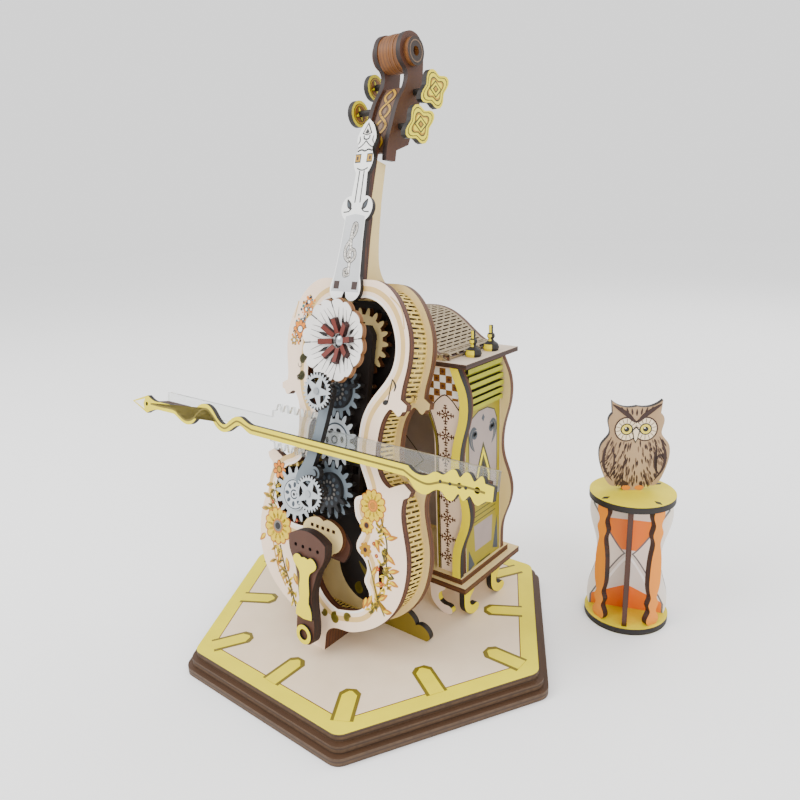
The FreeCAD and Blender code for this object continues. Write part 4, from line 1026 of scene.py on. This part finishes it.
for flip in (-1, 1):
    u = mid + 8.2 * flip
    comma = [(u - 2.2 * flip, 94.6), (u + 0.6 * flip, 95.4), (u + 2.6 * flip, 92.6), (u + 2.2 * flip, 88),
             (u - 0.4 * flip, 84)]
    sideMarks += stroke("slateInk", comma, 3.2, 3, True)
    sideMarks += blob("slateInk", u - 0.8 * flip, 92.2, 2.2, layer=3)
    sideMarks += curl("blackInk", u - 0.6 * flip, 92.2, 1.7, 1.1, 0.5, 0, 4)
    sideMarks += stroke("greyInk", comma[1:], 0.6, 4, True)
sideMarks += [("slateInk", [(mid - 1.4, 99), (mid, 97), (mid + 1.4, 99), (mid, 101)], 3)]
for low in (47, 49.6, 52.2):
    sideMarks += line("mossInk", (y0 + 4, low), (y1 - 4, low), 0.5, 1)
sideMarks += [("shadowInk", [(y0 + 8, 31), (y1 - 8, 31), (y1 - 7, 45), (y0 + 7, 45)], 1),
              ("slateInk", [(y0 + 1.6, 22.4), (y0 + 7.4, 24), (y0 + 2.2, 34)], 1),
              ("slateInk", [(y1 - 1.6, 24), (y1 - 6.6, 26), (y1 - 2.6, 43)], 1),
              ("mossInk", [(y0 + 9, 23), (y1 - 9, 23), (y1 - 9, 24), (y0 + 9, 24)], 1)]
for name, place in (("right", rightPlane), ("left", leftPlane)):
    shown = sideMarks if name == "right" else [(ink, [(-x, z) for x, z in points[::-1]], layer)
                                               for ink, points, layer in sideMarks]
    printMarks("cabinet_side_print_" + name, "root", place, shown)

backMarks = crossing("tileInk", [(-24, 30), (-26, 60), (-24, 84), (0, 96), (24, 84), (26, 60), (24, 30),
                                 (0, 27),
                                 (-24, 30)], 1.0, 0)
for x, z in ((-14, 46), (14, 46), (-14, 70), (14, 70)):
    backMarks += fleurCross(x, z, 5, "crossInk", 1)
printMarks("cabinet_back_print", "root", backPlane, backMarks)
print("cabinet printed")

# wheels: printed rings and ovals
for joint, body, height, kind in (("upper_spin", "upper_wheel", 2.6, "driver"),
                                  ("lower_spin", "lower_wheel", 2.6, "driver"),
                                  ("middle_spin", "middle_wheel", 0.5, "groove"),
                                  ("side_spin", "side_wheel", 1.3, "ovals")):
    x, s = wheelAt(joint)
    marks = []
    if kind == "driver":
        for k in range(12):
            turn = 30 * k
            a = math.radians(turn)
            marks += blob("slateInk", x + 6.1 * math.cos(a), s + 6.1 * math.sin(a), 1.1, 0.9, 0, turn)
            marks += blob("greyInk", x + 4.0 * math.cos(a + 0.26), s + 4.0 * math.sin(a + 0.26), 0.75, 0.6,
                          0, turn)
        marks += blob("slateInk", x, s, 2.3, layer=0)
    elif kind == "groove":
        marks += blob("slateInk", x, s, 7.8, layer=0, sides=36)
        marks += blob("silverInk", x, s, 7.0, layer=1, sides=36)
        for k in range(6):
            a = math.radians(60 * k + 10)
            marks += blob("blackInk", x + 4.6 * math.cos(a), s + 4.6 * math.sin(a), 1.5, 1.0, 2, 60 * k
                          + 100)
        marks += blob("slateInk", x, s, 2.0, layer=2) + blob("silverInk", x, s, 1.2, layer=3)
    else:
        marks += blob("slateInk", x, s, 7.2, layer=0, sides=36)
        marks += blob("silverInk", x, s, 6.7, layer=1, sides=36)
        for k in range(8):
            a = math.radians(45 * k)
            marks += blob("slateInk", x + 4.7 * math.cos(a), s + 4.7 * math.sin(a), 1.4, 0.9, 2, 45 * k)
        marks += blob("slateInk", x, s, 2.4, layer=2) + blob("silverInk", x, s, 1.7, layer=3)
        marks += blob("blackInk", x, s, 0.8, layer=4)
    printMarks(body + "_print", body, onPlane(celloFace, height), marks)

# the flower: painted shadows in the gaps between the petals and in each rim notch, and painted shade along
# each petal's creases
petalLook = {"count": 8, "first": 8, "tiltDeg": 22.8, "hub": 3.0, "face": -2.1, "reach": 19.1}
flowerX, flowerS = wheelAt("flower_spin")
petalShadeMarks = []
for half in (-1, 1):
    petalShadeMarks += stroke("slateInk", [(8.2, 3.3 * half), (12.4, 5.0 * half), (15.6, 6.3 * half)], 0.45, 0,
                         True)
    petalShadeMarks += [("umberInk", [(6.2, 2.0 * half), (9, 2.6 * half), (12.6, 5.0 * half),
                                 (8.4, 3.4 * half)], 1)]
    petalShadeMarks += stroke("greyInk", [(9.5, 1.2 * half), (12.5, 2.2 * half), (15.5, 3.6 * half)], 0.3, 1,
                         True)
petalShadeMarks += stroke("greyInk", [(9, 0), (13, 0), (16.4, 0)], 0.35, 1, True)
petalShadeMarks += stroke("umberInk", [(15.2, 0), (petalLook["reach"] - 0.5, 0)], 0.5, 2)
for k in range(petalLook["count"]):
    spot = onPlane(celloFace, -petalLook["face"]) @ Matrix.Translation((flowerX, flowerS, 0))
    spot = spot @ Matrix.Rotation(math.radians(360 * k / petalLook["count"] + petalLook["first"]), 4, "Z")
    spot = spot @ Matrix.Translation((petalLook["hub"], 0, 0))
    spot = spot @ Matrix.Rotation(math.radians(-petalLook["tiltDeg"]), 4, "Y")
    spot = spot @ Matrix.Translation((-petalLook["hub"], 0, 0))
    printMarks("petal_print_" + str(k), "flower_wheel", spot, petalShadeMarks)

# the owl and its perch
owlLook = {"seed": 7, "streaks": 260, "eyeX": 4.5, "eyeUp": 32.0}
owlFace = onPlane(owlPlane, -0.5)
owl = []
chance = random.Random(owlLook["seed"])
foot = discBox[1].z / mm
for k in range(owlLook["streaks"]):  # feathers, sparse on the pale belly
    z = foot + chance.uniform(4, 27)
    half = 3 + 11.5 * math.sin(min(1.0, (z - foot) / 22) * 1.9)
    x = chance.uniform(-half, half)
    if abs(x) < 2.6 and chance.random() < 0.6:
        continue
    ink = "brownInk" if chance.random() < 0.62 else "taupeInk"
    owl += leaf(ink, x, z, chance.uniform(2.2, 4.2), 0.8, -90 + x * 2.2, k % 3)
for flip in (-1, 1):
    owl += stroke("brownInk", [(11.4 * flip, foot + 28), (14.6 * flip, foot + 20), (14.2 * flip, foot + 12),
                               (10 * flip, foot + 5)], 1.4, 3, True)
    owl += stroke("brownInk", [(10.6 * flip, foot + 24), (9.6 * flip, foot + 15), (11.4 * flip, foot + 8)],
                  0.8, 3, True)
    x, z = owlLook["eyeX"] * flip, foot + owlLook["eyeUp"]
    owl += blob("brownInk", x, z, 5.9, 6.3, 3) + blob("creamInk", x, z, 5.2, 5.6, 4)
    for k in range(14):
        a = math.radians(12 + 25.7 * k)
        owl += line("taupeInk", (x + 3.2 * math.cos(a), z + 3.2 * math.sin(a)),
                    (x + 5.0 * math.cos(a), z + 5.4 * math.sin(a)), 0.35, 5)
    owl += blob("blackInk", x, z, 3.0, layer=6)
    owl += blob("eyeInk", x, z, 2.4, layer=7)
    owl += blob("blackInk", x, z, 1.3, layer=8)
    owl += blob("paleInk", x - 0.5, z + 0.6, 0.4, layer=9, sides=8)
    owl += stroke("brownInk", [(0.6 * flip, foot + 35.4), (4.6 * flip, foot + 39.6),
                               (11.6 * flip, foot + 44.6)], 2.2, 9, True)
    owl += leaf("brownInk", 4.0 * flip, foot + 2.4, 2.6, 1.8, 90, 3)
    owl += blob("orangeInk", 3.2 * flip, foot + 1.4, 2.2, 1.2, 4)
owl += [("blackInk", [(-2.0, foot + 31.4), (0, foot + 33.4), (2.0, foot + 31.4), (0.9, foot + 26.6),
                      (0, foot + 24.8),
                      (-0.9, foot + 26.6)], 9),
        ("creamInk", [(-1.4, foot + 31.2), (0, foot + 32.6), (1.4, foot + 31.2), (0.6, foot + 27),
                      (0, foot + 25.8),
                      (-0.6, foot + 27)], 10)]
for k in range(7):
    owl += leaf("brownInk", -6 + 2 * k, foot + 38.6 + 0.5 * abs(k - 3), 3.6, 1.0, 90 + 8 * (3 - k), 3)
printMarks("owl_print", "hourglass", owlFace, owl)
print("owl printed")


# Geometry Nodes: sizes go in by name, the result comes out as a plain mesh
def newTree(name, sizes):
    tree = bpy.data.node_groups.new(name, "GeometryNodeTree")
    tree.interface.new_socket("Geometry", in_out="OUTPUT", socket_type="NodeSocketGeometry")
    for label, kind in sizes.items():
        tree.interface.new_socket(label, in_out="INPUT", socket_type="NodeSocket" + kind)
    sockets = addNode(tree, "NodeGroupInput").outputs
    return tree, sockets, addNode(tree, "NodeGroupOutput")


def grow(name, tree, values):
    holder = bpy.data.objects.new(name, bpy.data.meshes.new(name))
    bpy.context.scene.collection.objects.link(holder)
    modifier = holder.modifiers.new("grown", "NODES")
    modifier.node_group = tree
    for socket in tree.interface.items_tree:
        if socket.in_out == "INPUT":
            modifier[socket.identifier] = values[socket.name]
    bpy.context.view_layer.update()
    evaluated = holder.evaluated_get(bpy.context.evaluated_depsgraph_get())
    mesh = bpy.data.meshes.new_from_object(evaluated)
    bpy.data.objects.remove(holder)
    return mesh


def joined(name, body, meshes):
    # several grown meshes as one piece
    bm = bmesh.new()
    inks = []
    for mesh in meshes:
        for material in mesh.materials:
            if material not in inks:
                inks.append(material)
        first = len(bm.faces)
        bm.from_mesh(mesh)
        bm.faces.ensure_lookup_table()
        for face in bm.faces[first:]:
            face.material_index = inks.index(mesh.materials[face.material_index])
    whole = bpy.data.meshes.new(name)
    bm.to_mesh(whole)
    bm.free()
    for ink in inks:
        whole.materials.append(ink)
    piece = bpy.data.objects.new(name, whole)
    bpy.context.scene.collection.objects.link(piece)
    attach(piece, body)
    return piece


def templateMark(points, low, high):
    # one mark, drawn pointing along +X, that a tree repeats
    bm = bmesh.new()
    raiseMark(bm, points, low, high, 0)
    mesh = bpy.data.meshes.new("mark")
    bm.to_mesh(mesh)
    bm.free()
    mark = bpy.data.objects.new("mark", mesh)
    bpy.context.scene.collection.objects.link(mark)
    return mark


# marks round a ring
ringTree, ringIn, ringOut = newTree("marksRoundRing", {"Mark": "Object", "Count": "Int", "Radius": "Float",
                                                       "Turn": "Float", "Finish": "Material"})
circle = addNode(ringTree, "GeometryNodeMeshCircle", None,
                 {"Vertices": ringIn["Count"], "Radius": ringIn["Radius"]})
source = addNode(ringTree, "GeometryNodeObjectInfo", None, {"Object": ringIn["Mark"]})
where = addNode(ringTree, "GeometryNodeInputPosition")
facingOut = addNode(ringTree, "FunctionNodeAlignEulerToVector", {"axis": "X", "pivot_axis": "Z"},
                    {"Vector": where.outputs[0]})
placed = addNode(ringTree, "GeometryNodeInstanceOnPoints", None,
                 {"Points": circle.outputs[0], "Instance": source.outputs["Geometry"],
                  "Rotation": facingOut.outputs[0]})
turnBy = addNode(ringTree, "ShaderNodeCombineXYZ", None, {"Z": ringIn["Turn"]})
turned = addNode(ringTree, "GeometryNodeTransform", None,
                 {"Geometry": placed.outputs[0], "Rotation": turnBy.outputs[0]})
real = addNode(ringTree, "GeometryNodeRealizeInstances", None, {"Geometry": turned.outputs[0]})
finished = addNode(ringTree, "GeometryNodeSetMaterial", None, {"Geometry": real.outputs[0],
                                                               "Material": ringIn["Finish"]})
ringTree.links.new(finished.outputs[0], ringOut.inputs[0])


def ringOfMarks(points, low, high, count, radius, turnDeg, ink, place):
    mark = templateMark(points, low, high)
    mesh = grow("ring", ringTree, {"Mark": mark, "Count": count, "Radius": radius,
                                   "Turn": math.radians(turnDeg),
                                   "Finish": inkFinish(ink)})
    bpy.data.objects.remove(mark)
    mesh.transform(place)
    return mesh


# the hours on the base: a mark at each corner and one at the middle of each side
hourLook = {"length": 19.0, "width": 9.6, "bevel": 1.5, "point": 2.6, "cornerReach": 83.6,
            "sideReach": 73.4,
            "sideInk": "oliveInk", "topInk": "brightInk"}


def hourShape(inset):
    half = hourLook["width"] / 2 - inset
    near, point = -hourLook["length"] + inset, hourLook["point"]
    return [(0, -half), (0, half), (near + point, half), (near, half - point), (near, point - half),
            (near + point, -half)]


hours = []
for reach, turnDeg in ((hourLook["cornerReach"], 0), (hourLook["sideReach"], 30)):
    for inset, high, ink in ((0.0, 0.10, hourLook["sideInk"]),
                             (hourLook["bevel"], 0.2, hourLook["topInk"])):
        hours.append(ringOfMarks(hourShape(inset), -0.05, high, 6, reach, turnDeg, ink, basePlane))
joined("hour_marks", "root", hours)

# key slots round the hourglass's top disc
slotPlace = Matrix.Translation((glassAxis.x, glassAxis.y, discBox[1].z))
slotPlace = slotPlace @ Matrix.Rotation(glassTurn, 4, "Z")
slotPlace = slotPlace @ Matrix.Scale(mm, 4)
joined("disc_slots", "hourglass",
       [ringOfMarks([(-2.6, 0), (0, -1.3), (2.6, 0), (0, 1.3)], -0.05, 0.06, 4, 17.0, 45, "blackInk",
                    slotPlace)])
print("rings of marks made")

# slotted bending ply: bars across a curved path, joined by short links in turn
bandTree, bandIn, bandOut = newTree("slottedBand", {"Path": "Object", "Count": "Int", "Bar": "Vector",
                                                    "Rail": "Vector",
                                                    "Link": "Vector", "Links": "Int", "Spacing": "Float",
                                                    "Half": "Float", "Finish": "Material",
                                                    "Burnt": "Material"})
path = addNode(bandTree, "GeometryNodeObjectInfo", None, {"Object": bandIn["Path"]})
alongPath = addNode(bandTree, "GeometryNodeResampleCurve", None, {"Curve": path.outputs["Geometry"],
                                                                  "Count": bandIn["Count"]})
posts = addNode(bandTree, "GeometryNodeCurveToPoints", {"mode": "EVALUATED"},
                {"Curve": alongPath.outputs[0]})
noted = addNode(bandTree, "GeometryNodeStoreNamedAttribute", {"data_type": "FLOAT_VECTOR"},
                {"Geometry": posts.outputs["Points"], "Name": "runs", "Value": posts.outputs["Tangent"]})
straight = addNode(bandTree, "FunctionNodeAlignEulerToVector", {"axis": "X", "pivot_axis": "Z"},
                   {"Vector": posts.outputs["Tangent"]})
order = addNode(bandTree, "GeometryNodeInputIndex").outputs[0]
odd = addNode(bandTree, "ShaderNodeMath", {"operation": "MODULO"}, {0: order, 1: 2.0}).outputs[0]


def bandPart(size, shift, selection=None):
    cube = addNode(bandTree, "GeometryNodeMeshCube", None, {"Size": size})
    moved = addNode(bandTree, "GeometryNodeTransform", None,
                    {"Geometry": cube.outputs["Mesh"], "Translation": shift})
    inputs = {"Points": noted.outputs[0], "Instance": moved.outputs[0], "Rotation": straight.outputs[0]}
    if selection is not None:
        inputs["Selection"] = selection
    return addNode(bandTree, "GeometryNodeInstanceOnPoints", None, inputs).outputs[0]


def linkColumn(start, selection):
    cube = addNode(bandTree, "GeometryNodeMeshCube", None, {"Size": bandIn["Link"]})
    step = addNode(bandTree, "ShaderNodeCombineXYZ", None, {"Z": bandIn["Spacing"]})
    first = addNode(bandTree, "ShaderNodeCombineXYZ", None, {"X": addNode(
        bandTree, "ShaderNodeMath", {"operation": "MULTIPLY"}, {0: 0.5, 1: linkRun}).outputs[0],
        "Z": start})
    rowOf = addNode(bandTree, "GeometryNodeMeshLine", None,
                    {"Count": bandIn["Links"], "Start Location": first.outputs[0],
                     "Offset": step.outputs[0]})
    spread = addNode(bandTree, "GeometryNodeInstanceOnPoints", None, {"Points": rowOf.outputs[0],
                                                                      "Instance": cube.outputs["Mesh"]})
    return addNode(bandTree, "GeometryNodeInstanceOnPoints", None,
                   {"Points": noted.outputs[0], "Instance": spread.outputs[0],
                    "Rotation": straight.outputs[0],
                    "Selection": selection}).outputs[0]


linkRun = addNode(bandTree, "ShaderNodeSeparateXYZ", None, {0: bandIn["Link"]}).outputs[0]
railUp = addNode(bandTree, "ShaderNodeCombineXYZ", None, {"Z": bandIn["Half"]}).outputs[0]
railDown = addNode(bandTree, "ShaderNodeVectorMath", {"operation": "SCALE"},
                   {0: railUp, "Scale": -1.0}).outputs[0]
lowStart = addNode(bandTree, "ShaderNodeMath", {"operation": "MULTIPLY"},
                   {0: bandIn["Half"], 1: -1.0}).outputs[0]
oddStart = addNode(bandTree, "ShaderNodeMath", {"operation": "MULTIPLY_ADD"},
                   {0: bandIn["Spacing"], 1: 0.5, 2: lowStart}).outputs[0]
even = addNode(bandTree, "ShaderNodeMath", {"operation": "SUBTRACT"}, {0: 1.0, 1: odd}).outputs[0]
parts = [bandPart(bandIn["Bar"], (0, 0, 0)), bandPart(bandIn["Rail"], railUp),
         bandPart(bandIn["Rail"], railDown),
         linkColumn(lowStart, even), linkColumn(oddStart, odd)]
together = addNode(bandTree, "GeometryNodeJoinGeometry")
for part in parts:
    bandTree.links.new(part, together.inputs[0])
real = addNode(bandTree, "GeometryNodeRealizeInstances", None, {"Geometry": together.outputs[0]})
pale = addNode(bandTree, "GeometryNodeSetMaterial", None,
               {"Geometry": real.outputs[0], "Material": bandIn["Finish"]})
runs = addNode(bandTree, "GeometryNodeInputNamedAttribute", {"data_type": "FLOAT_VECTOR"}, {"Name": "runs"})
faceWay = addNode(bandTree, "GeometryNodeInputNormal")
sideways = addNode(bandTree, "ShaderNodeVectorMath", {"operation": "DOT_PRODUCT"},
                   {0: faceWay.outputs[0], 1: runs.outputs[0]}).outputs["Value"]
isSide = addNode(bandTree, "ShaderNodeMath", {"operation": "ABSOLUTE"}, {0: sideways}).outputs[0]
cut = addNode(bandTree, "ShaderNodeMath", {"operation": "GREATER_THAN"}, {0: isSide, 1: 0.7}).outputs[0]
burnt = addNode(bandTree, "GeometryNodeSetMaterial", None,
                {"Geometry": pale.outputs[0], "Selection": cut, "Material": bandIn["Burnt"]})
bandTree.links.new(burnt.outputs[0], bandOut.inputs[0])


def slottedBand(name, pathPoints, closed, look, place, standsFor):
    # pathPoints run along the band's middle line in a plane, in millimetres; bars stand across it
    curve = bpy.data.curves.new("path", "CURVE")
    curve.dimensions = "3D"
    spline = curve.splines.new("POLY")
    spline.points.add(len(pathPoints) - 1)
    for point, (x, y) in zip(spline.points, pathPoints):
        point.co = (x, y, 0, 1)
    spline.use_cyclic_u = closed
    holder = bpy.data.objects.new("path", curve)
    bpy.context.scene.collection.objects.link(holder)
    ends = pathPoints[1:] + (pathPoints[:1] if closed else [])
    length = sum(math.dist(a, b) for a, b in zip(pathPoints, ends))
    count = int(length / look["pitch"])
    pitch = length / count
    half = look["depth"] / 2 - look["rail"] / 2
    mesh = grow(name, bandTree, {
        "Path": holder, "Count": count, "Bar": (pitch - look["slit"], look["wall"], look["depth"] - 0.02),
        "Rail": (pitch * 1.06, look["wall"] - 0.04, look["rail"]),
        "Link": (look["slit"] * 2.2, look["wall"] - 0.08, look["link"]), "Links": look["links"],
        "Spacing": 2 * half / (look["links"] - 1), "Half": half,
        "Finish": plyFinish(look["ply"], "none"), "Burnt": inkFinish("brownInk")})
    bpy.data.objects.remove(holder)
    mesh.transform(place)
    piece = bpy.data.objects.new(name, mesh)
    bpy.context.scene.collection.objects.link(piece)
    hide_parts(*standsFor)
    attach(piece, "root")
    return piece


def outerEdge(parts, place, centre, depth):
    # points of the parts' outward surface at one depth, in order round the centre
    back = place.inverted()
    turn = back.to_3x3()
    found = set()
    for part in parts:
        mesh = nodes[part].data
        for polygon in mesh.polygons:
            n = (turn @ polygon.normal).normalized()
            if abs(n.z) > 0.3:
                continue
            for index in polygon.vertices:
                x, y, z = back @ mesh.vertices[index].co
                if abs(z - depth) < 0.05 and n.x * (x - centre[0]) + n.y * (y - centre[1]) > 0:
                    found.add((round(x, 3), round(y, 3)))
    return sorted(found, key=lambda p: math.atan2(p[1] - centre[1], p[0] - centre[0]))


# the cello's ribs
ribLook = {"pitch": 2.1, "slit": 0.95, "wall": 1.5, "rail": 0.8, "link": 0.8, "links": 3, "depth": 13.3,
           "front": 3.5,
           "ply": "birchBare"}
ribLine = outerEdge(("rib_upper", "rib_waist", "rib_lower"), celloFace, (0, 95), -ribLook["front"])
ribPath = beside(ribLine, ribLook["wall"] / 2)
ribPlace = onPlane(celloFace, -ribLook["front"] - ribLook["depth"] / 2)
slottedBand("slotted_ribs", ribPath, True, ribLook, ribPlace, ("rib_upper", "rib_waist", "rib_lower"))

# the barrel roof
roofLook = {"pitch": 2.0, "slit": 0.75, "wall": 1.6, "rail": 1.2, "link": 1.1, "links": 7, "depth": 36.6,
            "ply": "greySlat"}
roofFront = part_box("barrel_roof")[0].y
roofPlane = plane((0, roofFront, baseTop), right, (0, 0, 1))
roofLine = [p for p in outerEdge(("barrel_roof",), roofPlane, (0, 132), 0) if p[1] > 131.4]
roofPath = [p for p in beside(roofLine[::-1], -roofLook["wall"] / 2) if p[1] > 130.6][::-1]
slottedBand("slotted_roof", roofPath, False, roofLook, onPlane(roofPlane, -roofLook["depth"] / 2),
            ("barrel_roof",))
print("slotted ribs and roof made")

# floor, light and camera
floorLook = {"size": 6.0}
floorMesh = bpy.data.meshes.new("floor")
half = floorLook["size"] / 2
floorMesh.from_pydata([(-half, -half, 0), (half, -half, 0), (half, half, 0), (-half, half, 0)], [],
                      [(0, 1, 2, 3)])
floor = bpy.data.objects.new("floor", floorMesh)
floor.location.z = -0.0002
bpy.context.scene.collection.objects.link(floor)
floorFinish, floorTree, floorShader, floorPlace, floorNormal = newFinish("floorPaper", 0.9)
floorShader.inputs["Base Color"].default_value = (1, 1, 1, 1)
floorMesh.materials.append(floorFinish)

world = bpy.data.worlds.new("studio")
world.use_nodes = True
world.node_tree.nodes["Background"].inputs[0].default_value = (1, 1, 1, 1)
world.node_tree.nodes["Background"].inputs[1].default_value = 1.45
bpy.context.scene.world = world
lamps = {"key": {"at": (-0.55, -0.75, 0.95), "size": 0.7, "power": 13},
         "fill": {"at": (0.95, -0.55, 0.7), "size": 0.9, "power": 7},
         "back": {"at": (0.2, 0.9, 0.9), "size": 0.8, "power": 6}}
for name, lamp in lamps.items():
    data = bpy.data.lights.new(name, "AREA")
    data.energy, data.size = lamp["power"], lamp["size"]
    light = bpy.data.objects.new(name, data)
    light.location = lamp["at"]
    light.rotation_mode = "QUATERNION"
    light.rotation_quaternion = (Vector((0, 0, 0.12)) - Vector(lamp["at"])).to_track_quat("-Z", "Y")
    bpy.context.scene.collection.objects.link(light)

cameraLook = {"at": (0.20775, -0.23255, 0.21018), "azimuth": 38.97, "elevation": 16.10, "roll": -2.14,
              "lens": 30.8}
azimuth, elevation, roll = (math.radians(cameraLook[k]) for k in ("azimuth", "elevation", "roll"))
back = Vector((math.sin(azimuth) * math.cos(elevation), -math.cos(azimuth) * math.cos(elevation),
               math.sin(elevation)))
across = (-back).cross(Vector((0, 0, 1))).normalized()
upward = across.cross(-back)
turnedAcross = across * math.cos(roll) + upward * math.sin(roll)
turnedUp = upward * math.cos(roll) - across * math.sin(roll)
cameraData = bpy.data.cameras.new("camera")
cameraData.lens = cameraLook["lens"]
cameraData.sensor_width = 36.0
cameraData.clip_start = 0.01
camera = bpy.data.objects.new("camera", cameraData)
cameraTurn = Matrix((turnedAcross, turnedUp, back)).transposed().to_4x4()
camera.matrix_world = Matrix.Translation(cameraLook["at"]) @ cameraTurn
bpy.context.scene.collection.objects.link(camera)
bpy.context.scene.camera = camera
